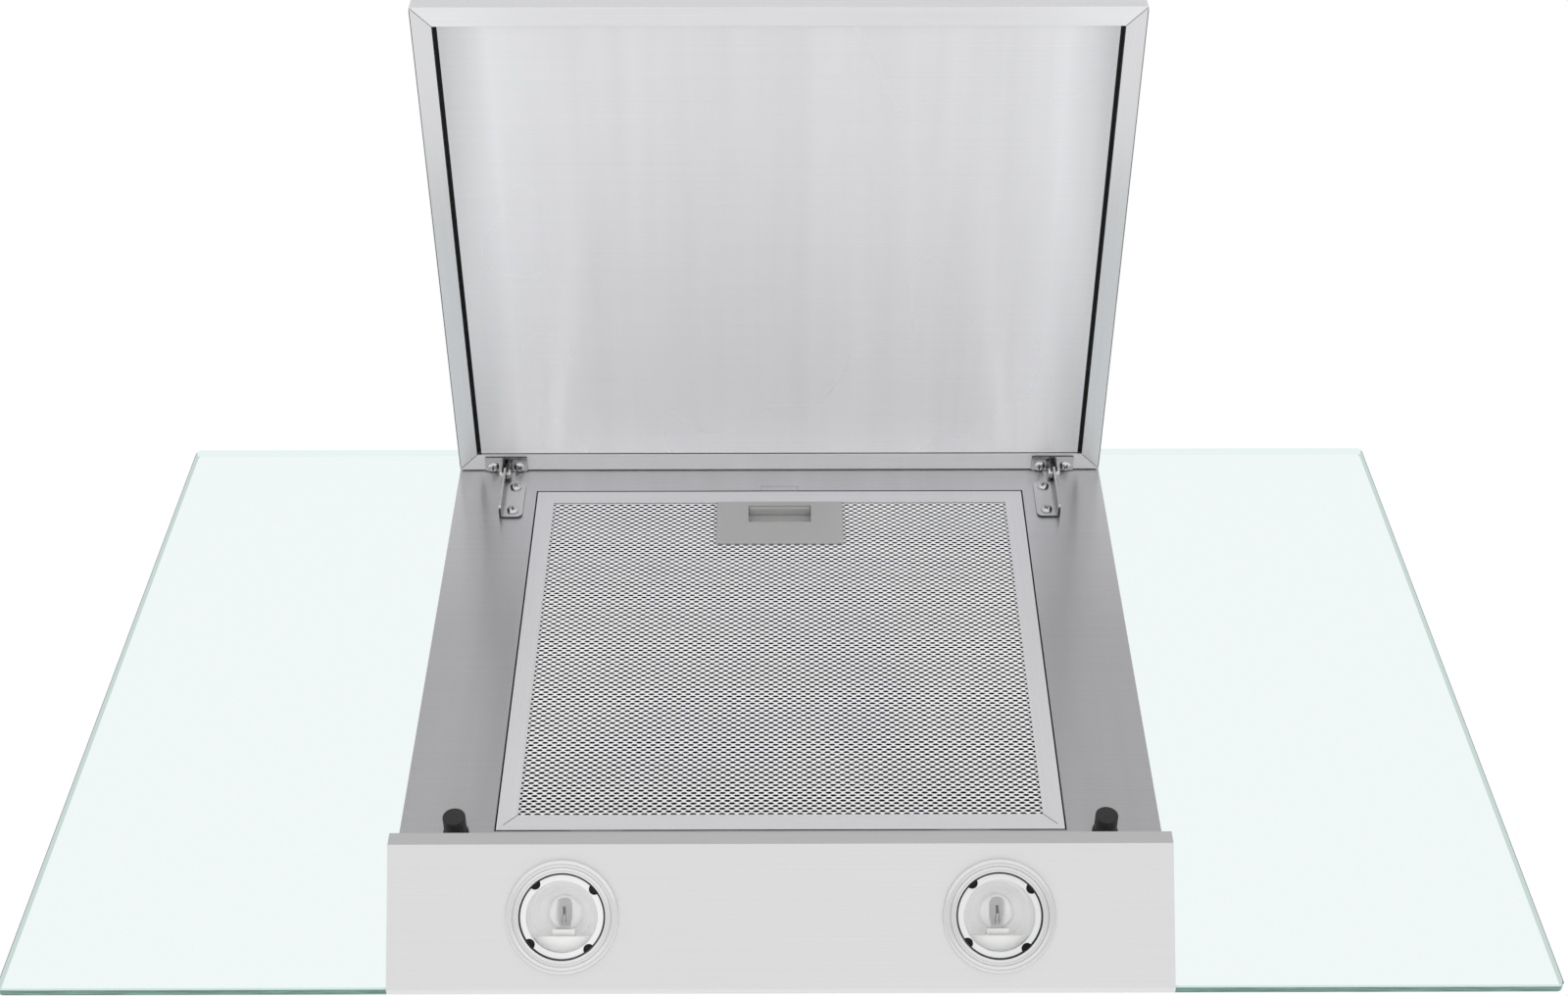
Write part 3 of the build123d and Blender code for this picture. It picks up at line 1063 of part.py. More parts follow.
with BuildPart() as impeller:
    with BuildSketch(at_side(-IMPELLER_WIDTH / 2)):
        with Locations((BLOWER_Y, BLOWER_Z)):
            with PolarLocations(BLADE_RADIUS, BLADE_COUNT):
                Rectangle(BLADE_DEPTH, BLADE_THICKNESS, rotation=BLADE_PITCH)
    extrude(amount=IMPELLER_WIDTH)
    for ring_x in (-IMPELLER_WIDTH / 2, IMPELLER_WIDTH / 2 - IMPELLER_RING):
        with BuildSketch(at_side(ring_x)):
            with Locations((BLOWER_Y, BLOWER_Z)):
                Circle(IMPELLER_RADIUS)
                Circle(IMPELLER_RADIUS - BLADE_DEPTH, mode=Mode.SUBTRACT)
        extrude(amount=IMPELLER_RING)
    for start_x, length, radius in (
            (-HUB_THICKNESS / 2, HUB_THICKNESS, BLADE_RADIUS),
            (-HUB_LENGTH / 2, HUB_LENGTH, HUB_RADIUS),
            (MOTOR_FACE_X - SHAFT_IN_MOTOR, HUB_LENGTH / 2 - MOTOR_FACE_X + SHAFT_IN_MOTOR, SHAFT_RADIUS)):
        with BuildSketch(at_side(start_x)):
            with Locations((BLOWER_Y, BLOWER_Z)):
                Circle(radius)
        extrude(amount=length)
impeller.part.label = "impeller"
export_step(impeller.part, "parts/impeller.step")

# Motor inside the left half of the impeller, carried by a three-armed bracket on the scroll
with BuildPart() as motor:
    with BuildSketch(at_side(MOTOR_FACE_X)):
        with Locations((BLOWER_Y, BLOWER_Z)):
            Circle(MOTOR_RADIUS)
    extrude(amount=-MOTOR_LENGTH)
    fillet(motor.edges(), SCROLL_WALL)
    with BuildSketch(at_side(MOTOR_FACE_X)):
        with Locations((BLOWER_Y, BLOWER_Z)):
            Circle(SHAFT_RADIUS + SHAFT_CLEARANCE)
    extrude(amount=-(SHAFT_IN_MOTOR + SHEET), mode=Mode.SUBTRACT)
motor.part.label = "blower_motor"
export_step(motor.part, "parts/blower_motor.step")

with BuildPart() as spider:
    with BuildSketch(at_side(-SCROLL_WIDTH / 2)):
        with Locations((BLOWER_Y, BLOWER_Z)):
            Circle(SPIDER_RADIUS)
            Circle(INLET_RADIUS, mode=Mode.SUBTRACT)
            Circle(MOTOR_RADIUS / 2)
            with PolarLocations(INLET_RADIUS / 2, SPIDER_ARM_COUNT, start_angle=90):
                Rectangle(INLET_RADIUS, SPIDER_ARM)
    extrude(amount=-SPIDER_THICKNESS)
spider.part.label = "motor_bracket"
export_step(spider.part, "parts/motor_bracket.step")

# Outlet collar: tube with a base ring and a seat for the flaps
COLLAR_BORE = COLLAR_RADIUS - COLLAR_WALL
SEAT_Z = BOX_TOP_Z + SEAT_HEIGHT
SPINDLE_Z = SEAT_Z + FLAP_REST + FLAP_THICKNESS / 2

with BuildPart() as collar:
    for low_z, height, outer, inner in (
            (BOX_TOP_Z, COLLAR_BASE_THICKNESS, COLLAR_RADIUS + COLLAR_BASE, COLLAR_BORE),
            (BOX_TOP_Z, COLLAR_HEIGHT, COLLAR_RADIUS, COLLAR_BORE),
            (SEAT_Z - COLLAR_WALL, COLLAR_WALL, COLLAR_RADIUS, COLLAR_BORE - SEAT_WIDTH)):
        with BuildSketch(at_height(low_z)):
            with Locations((0, COLLAR_Y)):
                Circle(outer)
                Circle(inner, mode=Mode.SUBTRACT)
        extrude(amount=height)
    with BuildSketch(at_side(-COLLAR_RADIUS)):
        with Locations((COLLAR_Y, SPINDLE_Z)):
            Circle(SPINDLE_RADIUS)
    extrude(amount=2 * COLLAR_RADIUS, mode=Mode.SUBTRACT)
collar.part.label = "outlet_collar"
export_step(collar.part, "parts/outlet_collar.step")

with BuildPart() as spindle:
    with BuildSketch(at_side(-COLLAR_RADIUS)):
        with Locations((COLLAR_Y, SPINDLE_Z)):
            Circle(SPINDLE_RADIUS)
    extrude(amount=2 * COLLAR_RADIUS)
spindle.part.label = "damper_spindle"
export_step(spindle.part, "parts/damper_spindle.step")

# Back-draught flaps: half discs that lie on the seat, with their barrels side by side on the spindle
FLAP_RADIUS = COLLAR_BORE - FLAP_GAP
BARREL_END = BARREL_SPAN * 3 / 2

for name, toward, barrels in (
        ("front", -1, ((-BARREL_END, -BARREL_SPAN / 2 - BARREL_GAP),
                       (BARREL_SPAN / 2 + BARREL_GAP, BARREL_END))),
        ("rear", 1, ((-BARREL_SPAN / 2, BARREL_SPAN / 2),))):
    with BuildPart() as flap:
        with BuildSketch(at_height(SPINDLE_Z - FLAP_THICKNESS / 2)):
            with Locations((0, COLLAR_Y)):
                Circle(FLAP_RADIUS)
            with Locations((0, COLLAR_Y + toward * (BARREL_RADIUS + BARREL_GAP - FLAP_RADIUS))):
                Rectangle(2 * FLAP_RADIUS, 2 * FLAP_RADIUS, mode=Mode.SUBTRACT)
            for start_x, end_x in barrels:
                with Locations(((start_x + end_x) / 2, COLLAR_Y + toward * BARREL_RADIUS)):
                    Rectangle(end_x - start_x, 2 * BARREL_RADIUS)
        extrude(amount=FLAP_THICKNESS)
        for start_x, end_x in barrels:
            with BuildSketch(at_side(start_x)):
                with Locations((COLLAR_Y, SPINDLE_Z)):
                    Circle(BARREL_RADIUS)
            extrude(amount=end_x - start_x)
        with BuildSketch(at_side(-FLAP_RADIUS)):
            with Locations((COLLAR_Y, SPINDLE_Z)):
                Circle(SPINDLE_RADIUS + SPINDLE_CLEARANCE)
        extrude(amount=2 * FLAP_RADIUS, mode=Mode.SUBTRACT)
    flap.part.label = f"damper_flap_{name}"
    export_step(flap.part, f"parts/damper_flap_{name}.step")

# Back plate that hangs the hood on the wall
with BuildPart() as back_plate:
    with BuildSketch(at_depth(0)):
        with Locations((0, (BOX_TOP_Z - BACK_PLATE_FOOT) / 2)):
            Rectangle(BACK_PLATE_WIDTH, BOX_TOP_Z + BACK_PLATE_FOOT)
        with Locations(*WALL_HOLE_SPOTS):
            Circle(WALL_HOLE_RADIUS, mode=Mode.SUBTRACT)
    extrude(amount=BACK_PLATE_THICKNESS)
back_plate.part.label = "back_plate"
export_step(back_plate.part, "parts/back_plate.step")

# Duct covers: two U-shaped sheets with rear returns, the upper one sliding inside the lower one
COVER_INSET = COVER_SHEET + COVER_GAP

for name, inset, low_z, top_z in (
        ("lower_duct_cover", 0, UPPER_TOP_Z, UPPER_TOP_Z + COVER_HEIGHT),
        ("upper_duct_cover", COVER_INSET, UPPER_TOP_Z + UPPER_COVER_LIFT,
         UPPER_TOP_Z + COVER_HEIGHT + UPPER_COVER_PROUD)):
    with BuildPart() as cover:
        with BuildSketch(at_height(low_z)):
            with Locations((0, -COVER_DEPTH / 2)):
                Rectangle(COVER_WIDTH - 2 * inset, COVER_DEPTH - 2 * inset)
                Rectangle(COVER_WIDTH - 2 * (inset + COVER_SHEET), COVER_DEPTH - 2 * (inset + COVER_SHEET),
                          mode=Mode.SUBTRACT)
            with Locations((0, -inset)):
                Rectangle(COVER_WIDTH - 2 * COVER_RETURN, 2 * COVER_SHEET, mode=Mode.SUBTRACT)
        extrude(amount=top_z - low_z)
    cover.part.label = name
    export_step(cover.part, f"parts/{name}.step")

# Screws and nuts that clamp the two halves of the body on the glass
FIXING_NUT_Z = BODY_TOP_Z - SHEET
FIXING_TIP_Z = FIXING_NUT_Z - FIXING_NUT_HEIGHT - SHEET
FIXING_SEAT_Z = UPPER_FLOOR_Z + SHEET

with BuildPart() as fixings:
    with BuildSketch(at_height(FIXING_TIP_Z)):
        with Locations(*FIXING_SPOTS):
            Circle(FIXING_RADIUS)
    extrude(amount=FIXING_SEAT_Z - FIXING_TIP_Z)
    with BuildSketch(at_height(FIXING_SEAT_Z)):
        with Locations(*FIXING_SPOTS):
            Circle(FIXING_HEAD_RADIUS)
    extrude(amount=FIXING_HEAD_HEIGHT)
    with BuildSketch(at_height(FIXING_NUT_Z)):
        with Locations(*FIXING_SPOTS):
            RegularPolygon(FIXING_NUT_RADIUS, HEX_SIDES)
    extrude(amount=-FIXING_NUT_HEIGHT)
fixings.part.label = "glass_fixings"
export_step(fixings.part, "parts/glass_fixings.step")

# Cable gland in the motor box's lid
with BuildPart() as gland:
    with BuildSketch(at_height(BOX_TOP_Z)):
        with Locations((GLAND_X, GLAND_Y)):
            RegularPolygon(GLAND_RADIUS, HEX_SIDES)
    extrude(amount=GLAND_HEIGHT)
    with BuildSketch(at_height(BOX_TOP_Z)):
        with Locations((GLAND_X, GLAND_Y)):
            Circle(GLAND_THREAD_RADIUS)
    extrude(amount=-GLAND_THREAD_LENGTH)
    with BuildSketch(at_height(BOX_TOP_Z + GLAND_HEIGHT)):
        with Locations((GLAND_X, GLAND_Y)):
            Circle(GLAND_BORE_RADIUS)
    extrude(amount=-(GLAND_HEIGHT + GLAND_THREAD_LENGTH), mode=Mode.SUBTRACT)
gland.part.label = "cable_gland"
export_step(gland.part, "parts/cable_gland.step")
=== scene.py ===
import bpy
import bmesh
from math import atan2, cos, pi, radians, sin, sqrt
from mathutils import Matrix, Vector


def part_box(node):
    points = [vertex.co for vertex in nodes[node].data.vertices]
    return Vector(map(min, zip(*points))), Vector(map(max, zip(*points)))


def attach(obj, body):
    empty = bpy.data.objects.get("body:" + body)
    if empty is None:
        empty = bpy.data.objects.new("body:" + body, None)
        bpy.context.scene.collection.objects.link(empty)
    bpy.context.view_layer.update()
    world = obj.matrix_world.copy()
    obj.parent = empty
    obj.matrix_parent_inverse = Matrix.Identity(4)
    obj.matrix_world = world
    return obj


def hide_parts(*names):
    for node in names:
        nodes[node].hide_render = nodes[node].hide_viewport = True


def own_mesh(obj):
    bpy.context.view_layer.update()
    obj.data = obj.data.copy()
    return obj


# Looks of a wall-hung range hood with a glass canopy, seen from below and in front.
# Everything is in metres in the part's frame: X along the wall, +Y at the wall, +Z up.

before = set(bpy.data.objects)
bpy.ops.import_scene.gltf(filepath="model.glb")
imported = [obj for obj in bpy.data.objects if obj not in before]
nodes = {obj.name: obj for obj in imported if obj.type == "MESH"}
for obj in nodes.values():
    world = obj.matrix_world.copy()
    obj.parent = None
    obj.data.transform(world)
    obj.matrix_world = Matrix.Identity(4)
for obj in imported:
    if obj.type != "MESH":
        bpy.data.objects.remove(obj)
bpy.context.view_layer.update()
MM = 0.001

# Camera fitted to the photograph's edges: below the front edge, with the picture upside down
CAMERA_PLACE = Vector((0.00107, -1.34504, -1.05318))
CAMERA_PITCH = radians(39.3299)
CAMERA_YAW = radians(0.1903)
CAMERA_ROLL = radians(-0.0062)
CAMERA_REACH = 50
FOCAL_PIXELS = 2351.1
PICTURE_WIDTH = 1600
SENSOR_WIDTH = 36.0

# Stage and lights
FLOOR_Z = -1.75
FLOOR_SIZE = 40.0
FLOOR_DARK = (0.92, 0.92, 0.92, 1)
FLOOR_LIGHT = (0.94, 0.94, 0.94, 1)
WORLD_LIGHT = 0.75
WHITE = (1, 1, 1, 1)

# Noise stays mostly between these two values
NOISE_LOW = 0.35
NOISE_HIGH = 0.65
EVEN = (1, 1, 1)
RELIEF = 0.2 * MM


def linear(value):
    """Linear light of an sRGB value from 0 to 255."""
    value /= 255
    return value / 12.92 if value <= 0.04045 else ((value + 0.055) / 1.055) ** 2.4


def rgb(r, g, b):
    """Colour from sRGB values from 0 to 255."""
    return (linear(r), linear(g), linear(b), 1.0)


# Node helpers
def new_material(name):
    """An empty material and its nodes."""
    material = bpy.data.materials.new(name)
    material.use_nodes = True
    material.node_tree.nodes.clear()
    return material, material.node_tree


def add_node(tree, kind, inputs=None, **settings):
    """A new node with its settings, and with values for inputs given by name."""
    node = tree.nodes.new(kind)
    for key, value in settings.items():
        setattr(node, key, value)
    for key, value in (inputs or {}).items():
        node.inputs[key].default_value = value
    return node


def join(tree, source, target):
    """Links an output to an input."""
    tree.links.new(source, target)


def worked(tree, operation, first, second=None, **settings):
    """Result of a sum on an output and a second output or number."""
    node = add_node(tree, "ShaderNodeMath", operation=operation, **settings)
    join(tree, first, node.inputs[0])
    if hasattr(second, "is_linked"):
        join(tree, second, node.inputs[1])
    elif second is not None:
        node.inputs[1].default_value = second
    return node.outputs["Value"]


def mixed(tree, share, first, second):
    """Shader between two by a share from 0 to 1."""
    mix = add_node(tree, "ShaderNodeMixShader")
    join(tree, share, mix.inputs["Fac"])
    join(tree, first, mix.inputs[1])
    join(tree, second, mix.inputs[2])
    return mix.outputs["Shader"]


def stretched_noise(tree, scale, coarse, detail):
    """Noise in the object's own coordinates, stretched along the axes with small scales."""
    place = add_node(tree, "ShaderNodeTexCoord")
    mapping = add_node(tree, "ShaderNodeMapping", {"Scale": scale})
    noise = add_node(tree, "ShaderNodeTexNoise", {"Scale": coarse, "Detail": detail, "Roughness": 0.6})
    join(tree, place.outputs["Object"], mapping.inputs["Vector"])
    join(tree, mapping.outputs["Vector"], noise.inputs["Vector"])
    return noise.outputs["Fac"]


def spread(tree, value, low, high):
    """Maps a noise to a range."""
    span = add_node(tree, "ShaderNodeMapRange", {"From Min": NOISE_LOW, "From Max": NOISE_HIGH,
                                                 "To Min": low, "To Max": high})
    join(tree, value, span.inputs["Value"])
    return span.outputs["Result"]


def colour_sockets(sockets):
    """The sockets that carry a colour."""
    return [socket for socket in sockets if socket.type == "RGBA"]


def blended(tree, value, first, second):
    """Colour between two by a value from 0 to 1; each is a colour or another node's output."""
    mix = add_node(tree, "ShaderNodeMix", data_type="RGBA")
    for slot, colour in zip(colour_sockets(mix.inputs), (first, second)):
        if hasattr(colour, "is_linked"):
            join(tree, colour, slot)
        else:
            slot.default_value = colour
    join(tree, value, mix.inputs["Factor"])
    return colour_sockets(mix.outputs)[0]


def times(tree, first, second):
    """Product of two colours given as node outputs."""
    mix = add_node(tree, "ShaderNodeMix", {"Factor": 1.0}, data_type="RGBA", blend_type="MULTIPLY")
    slots = colour_sockets(mix.inputs)
    join(tree, first, slots[0])
    join(tree, second, slots[1])
    return colour_sockets(mix.outputs)[0]


def own_axis(tree, kind, axis, absolute=False):
    """One axis of the object's own coordinates or normal."""
    place = add_node(tree, "ShaderNodeTexCoord")
    parts = add_node(tree, "ShaderNodeSeparateXYZ")
    join(tree, place.outputs[kind], parts.inputs["Vector"])
    return worked(tree, "ABSOLUTE", parts.outputs[axis]) if absolute else parts.outputs[axis]


def ramped(tree, value, *stops):
    """Grey that follows a value along straight lines between stops of value and brightness."""
    low, high = stops[0][0], stops[-1][0]
    span = add_node(tree, "ShaderNodeMapRange", {"From Min": low, "From Max": high})
    join(tree, value, span.inputs["Value"])
    ramp = add_node(tree, "ShaderNodeValToRGB")
    elements = ramp.color_ramp.elements
    while len(elements) < len(stops):
        elements.new(1.0)
    for element, (at, grey) in zip(elements, stops):
        element.position = (at - low) / (high - low)
        element.color = (grey, grey, grey, 1.0)
    join(tree, span.outputs["Result"], ramp.inputs["Fac"])
    return ramp.outputs["Color"]


def streaks(tree, scale, low):
    """Soft streaks as rolled sheet shows them."""
    return ramped(tree, stretched_noise(tree, scale, 1.0, 3.0), (NOISE_LOW, low), (NOISE_HIGH, 1.0))


def roughened(tree, shader, height, strength, distance=RELIEF):
    """Gives a shader a fine relief."""
    relief = add_node(tree, "ShaderNodeBump", {"Strength": strength, "Distance": distance})
    join(tree, height, relief.inputs["Height"])
    join(tree, relief.outputs["Normal"], shader.inputs["Normal"])


def finish_material(tree, shader):
    """Sends a shader to the material's surface."""
    output = add_node(tree, "ShaderNodeOutputMaterial")
    join(tree, shader, output.inputs["Surface"])


def direction(tree, vector):
    """A direction in the object's axes as a tangent."""
    parts = add_node(tree, "ShaderNodeCombineXYZ", dict(zip("XYZ", vector)))
    turned = add_node(tree, "ShaderNodeVectorTransform", vector_type="VECTOR", convert_from="OBJECT",
                      convert_to="WORLD")
    join(tree, parts.outputs["Vector"], turned.inputs["Vector"])
    return turned.outputs["Vector"]


def mitre_mask(tree, middle, long_axis, step):
    """One on the shown face of a mitred frame's sides, zero on its ends and on its other faces."""
    across = own_axis(tree, "Object", "X", absolute=True)
    along = worked(tree, "ABSOLUTE", worked(tree, "SUBTRACT", own_axis(tree, "Object", long_axis), middle))
    sides = worked(tree, "GREATER_THAN", worked(tree, "SUBTRACT", across, along), step)
    shown = worked(tree, "LESS_THAN", own_axis(tree, "Normal", "Y" if long_axis == "Z" else "Z"), -0.5)
    return worked(tree, "MULTIPLY", sides, shown)


def brushed(name, dark, light, rough=(0.30, 0.33), grain=(6, 2400, 2400), across=(0, 1, 0), stretch=0.9,
            bump=0.03, metallic=1.0, mitre=None, painted_side_shade=None, shade=None):
    """Brushed metal: the grain runs along the axis with the small scale, and gloss stretches across it.

    mitre gives a frame's middle, long axis and mitre step, and painted_side_shade its sides' part of the
    colour, a painted shade.
    shade makes a grey of painted shade, with rolled streaks for some sheets, by which the colour is
    multiplied."""
    material, tree = new_material(name)
    shader = add_node(tree, "ShaderNodeBsdfPrincipled", {"Metallic": metallic, "Anisotropic": stretch})
    lines = stretched_noise(tree, grain, 1.0, 3.0)
    tangent = direction(tree, across)
    if mitre:
        mask = mitre_mask(tree, *mitre)
        turned_grain = (grain[1], grain[2], grain[0]) if mitre[1] == "Z" else (grain[1], grain[0], grain[2])
        both = add_node(tree, "ShaderNodeMix")
        join(tree, mask, both.inputs["Factor"])
        join(tree, lines, both.inputs["A"])
        join(tree, stretched_noise(tree, turned_grain, 1.0, 3.0), both.inputs["B"])
        lines = both.outputs["Result"]
        turns = add_node(tree, "ShaderNodeMix", data_type="VECTOR")
        sockets = [s for s in turns.inputs if s.type == "VECTOR" and s.name in ("A", "B")]
        join(tree, mask, turns.inputs["Factor"])
        join(tree, tangent, sockets[0])
        join(tree, direction(tree, (1, 0, 0)), sockets[1])
        tangent = [s for s in turns.outputs if s.type == "VECTOR"][0]
    clouds = stretched_noise(tree, (4, 4, 4), 1.0, 2.0)
    colour = blended(tree, spread(tree, lines, 0.0, 1.0), dark, light)
    if painted_side_shade:
        sides = (painted_side_shade, painted_side_shade, painted_side_shade, 1)
        colour = times(tree, colour, blended(tree, mask, WHITE, sides))
    if shade:
        colour = times(tree, colour, shade(tree))
    join(tree, colour, shader.inputs["Base Color"])
    join(tree, spread(tree, clouds, *rough), shader.inputs["Roughness"])
    roughened(tree, shader, lines, bump)
    join(tree, tangent, shader.inputs["Tangent"])
    finish_material(tree, shader.outputs["BSDF"])
    return material


def plain(name, dark, light, rough=(0.4, 0.55), metallic=0.0, grain=400.0, bump=0.1, shade=None):
    """Moulded, cast or plated surface with a fine even texture."""
    material, tree = new_material(name)
    shader = add_node(tree, "ShaderNodeBsdfPrincipled", {"Metallic": metallic})
    fine = stretched_noise(tree, EVEN, grain, 3.0)
    clouds = stretched_noise(tree, EVEN, 9.0, 2.0)
    colour = blended(tree, spread(tree, clouds, 0.0, 1.0), dark, light)
    if shade:
        colour = times(tree, colour, shade(tree))
    join(tree, colour, shader.inputs["Base Color"])
    join(tree, spread(tree, fine, *rough), shader.inputs["Roughness"])
    roughened(tree, shader, fine, bump)
    finish_material(tree, shader.outputs["BSDF"])
    return material


def surface_mirror(tree, index):
    """Share mirrored by a clear part's outer surface; a ray that leaves it isn't held inside."""
    fresnel = add_node(tree, "ShaderNodeFresnel", {"IOR": index})
    geometry = add_node(tree, "ShaderNodeNewGeometry")
    return worked(tree, "SUBTRACT", fresnel.outputs["Fac"], geometry.outputs["Backfacing"], use_clamp=True)


# Clear parts: colour let through and share mirrored
GLASS_BODY = (0.937, 0.967, 0.967, 1)
GLASS_SHINE = (0.9, 0.97, 0.96, 1)
GLASS_INDEX = 1.2
LENS_BODY = (0.995, 0.995, 0.995, 1)
QUARTZ_BODY = (0.98, 0.98, 0.98, 1)
LENS_INDEX = 1.4
LENS_ROUGH = (0.02, 0.07)


def sheet_glass():
    """Clear sheet glass: faint mint through the faces, deep green where the cut edge is seen."""
    material, tree = new_material("sheet_glass")
    clear = add_node(tree, "ShaderNodeBsdfTransparent", {"Color": GLASS_BODY})
    gloss = add_node(tree, "ShaderNodeBsdfGlossy", {"Color": GLASS_SHINE})
    haze = stretched_noise(tree, EVEN, 3.0, 2.0)
    join(tree, spread(tree, haze, 0.0, 0.02), gloss.inputs["Roughness"])
    face = mixed(tree, surface_mirror(tree, GLASS_INDEX), clear.outputs["BSDF"], gloss.outputs["BSDF"])

    edge = add_node(tree, "ShaderNodeBsdfPrincipled", {"Roughness": 0.12, "Coat Weight": 0.6})
    bands = spread(tree, stretched_noise(tree, (40, 40, 700), 1.0, 2.0), 0.0, 1.0)
    join(tree, blended(tree, bands, rgb(58, 98, 90), rgb(102, 148, 136)), edge.inputs["Base Color"])

    lengthwise = own_axis(tree, "Normal", "Y", absolute=True)
    upright = own_axis(tree, "Normal", "Z", absolute=True)
    # Bevels facing along Y are painted pale as a painted highlight, and the side bevels dark as painted
    # shade
    bevel = add_node(tree, "ShaderNodeBsdfPrincipled", {"Roughness": 0.15})
    front = ramped(tree, lengthwise, (0.3, 0.0), (0.6, 1.0))
    join(tree, blended(tree, front, rgb(40, 54, 50), rgb(206, 228, 220)), bevel.inputs["Base Color"])
    sloped = worked(tree, "GREATER_THAN", upright, 0.3)
    outer = mixed(tree, sloped, edge.outputs["BSDF"], bevel.outputs["BSDF"])

    inner = add_node(tree, "ShaderNodeBsdfTransparent")
    end = worked(tree, "GREATER_THAN", lengthwise, 0.5)
    join(tree, blended(tree, end, rgb(206, 220, 216), rgb(240, 249, 246)), inner.inputs["Color"])
    from_inside = add_node(tree, "ShaderNodeNewGeometry")
    cut = mixed(tree, from_inside.outputs["Backfacing"], outer, inner.outputs["BSDF"])

    finish_material(tree, mixed(tree, worked(tree, "LESS_THAN", upright, 0.9), face, cut))
    return material


def lens_glass(name, body):
    """Small clear glass part that lets light through without bending shadows dark."""
    material, tree = new_material(name)
    clear = add_node(tree, "ShaderNodeBsdfTransparent", {"Color": body})
    gloss = add_node(tree, "ShaderNodeBsdfGlossy")
    waves = stretched_noise(tree, EVEN, 120.0, 2.0)
    join(tree, spread(tree, waves, *LENS_ROUGH), gloss.inputs["Roughness"])
    roughened(tree, gloss, waves, 0.1, 0.5 * MM)
    finish_material(tree, mixed(tree, surface_mirror(tree, LENS_INDEX), clear.outputs["BSDF"],
                                gloss.outputs["BSDF"]))
    return material


def floor_white():
    """Pale floor with faint clouds, clear from below so that it never hides the object."""
    material, tree = new_material("floor_white")
    shader = add_node(tree, "ShaderNodeBsdfPrincipled", {"Roughness": 0.65})
    clouds = spread(tree, stretched_noise(tree, EVEN, 5.0, 2.0), 0.0, 1.0)
    join(tree, blended(tree, clouds, FLOOR_DARK, FLOOR_LIGHT), shader.inputs["Base Color"])
    clear = add_node(tree, "ShaderNodeBsdfTransparent")
    geometry = add_node(tree, "ShaderNodeNewGeometry")
    finish_material(tree, mixed(tree, geometry.outputs["Backfacing"], shader.outputs["BSDF"],
                                clear.outputs["BSDF"]))
    return material


def dress(material, *names):
    """Gives solids of the part a material."""
    for name in names:
        mesh = nodes[name].data
        mesh.materials.clear()
        mesh.materials.append(material)


# Materials. A mitre is a frame's middle along its long axis, that axis, and how far its half width
# and half length differ.
STEEL_DARK = rgb(196, 196, 198)
STEEL_LIGHT = rgb(204, 204, 206)
PALE_DARK = rgb(226, 226, 227)
PALE_LIGHT = rgb(229, 229, 230)
PANEL_MITRE = (-215.0 * MM, "Z", 46.0 * MM)
FILTER_MITRE = (-252.75 * MM, "Y", 10.25 * MM)


def plate_painted_shade(tree):
    """Painted shade on the underside: the downward faces grow deeper towards the front, the other faces are
    darker, and the walls in the filter's opening are near black as painted shadow; rolled streaks over it
    all.
    """
    along = ramped(tree, own_axis(tree, "Object", "Y"), (-0.42, 0.74), (-0.24, 0.78), (-0.09, 1.0))
    opening = ramped(tree, own_axis(tree, "Object", "X", absolute=True), (0.1735, 0.04), (0.1745, 0.7))
    below = ramped(tree, own_axis(tree, "Normal", "Z", absolute=True), (0.5, 0.0), (0.7, 1.0))
    return times(tree, blended(tree, below, opening, along), streaks(tree, (30, 1.5, 30), 0.94))


def liner_painted_shade(tree):
    """Painted shade on the liner, a little deeper towards its long sides and its free end, with rolled
    streaks.
    """
    sides = ramped(tree, own_axis(tree, "Object", "X", absolute=True), (0.180, 1.0), (0.207, 0.74))
    ends = ramped(tree, own_axis(tree, "Object", "Z"), (-0.38, 0.86), (-0.06, 1.0))
    return times(tree, times(tree, sides, ends), streaks(tree, (26, 26, 1.5), 0.94))


def skin_painted_shade(tree):
    """Painted shade on the flange's inner edges towards the liner, which face the dark gap."""
    inward = ramped(tree, own_axis(tree, "Normal", "X", absolute=True), (0.5, 0.0), (0.7, 1.0))
    walls = ramped(tree, own_axis(tree, "Object", "X", absolute=True), (0.2140, 0.06), (0.2150, 1.0))
    return blended(tree, inward, WHITE, walls)


def lip_painted_shade(tree):
    """Painted shade on the fascia's lip, which faces straight down."""
    return ramped(tree, own_axis(tree, "Normal", "Z"), (-0.95, 0.72), (-0.85, 1.0))


def edge_painted_shade(axis, dark):
    """Painted shade as dark outlines on the edges round the bright faces across an axis."""
    return lambda tree: ramped(tree, own_axis(tree, "Normal", axis, absolute=True), (0.6, dark), (0.8, 1.0))


glass = sheet_glass()
plate_steel = brushed("plate_steel", rgb(212, 212, 214), rgb(218, 218, 220), rough=(0.31, 0.33),
                      shade=plate_painted_shade)
housing_steel = brushed("housing_steel", rgb(184, 184, 186), rgb(192, 192, 194), rough=(0.31, 0.33))
fascia_steel = brushed("fascia_steel", PALE_DARK, PALE_LIGHT, rough=(0.42, 0.45), across=(0, 0.69, -0.72),
                       metallic=0.5, bump=0.0, shade=lip_painted_shade)
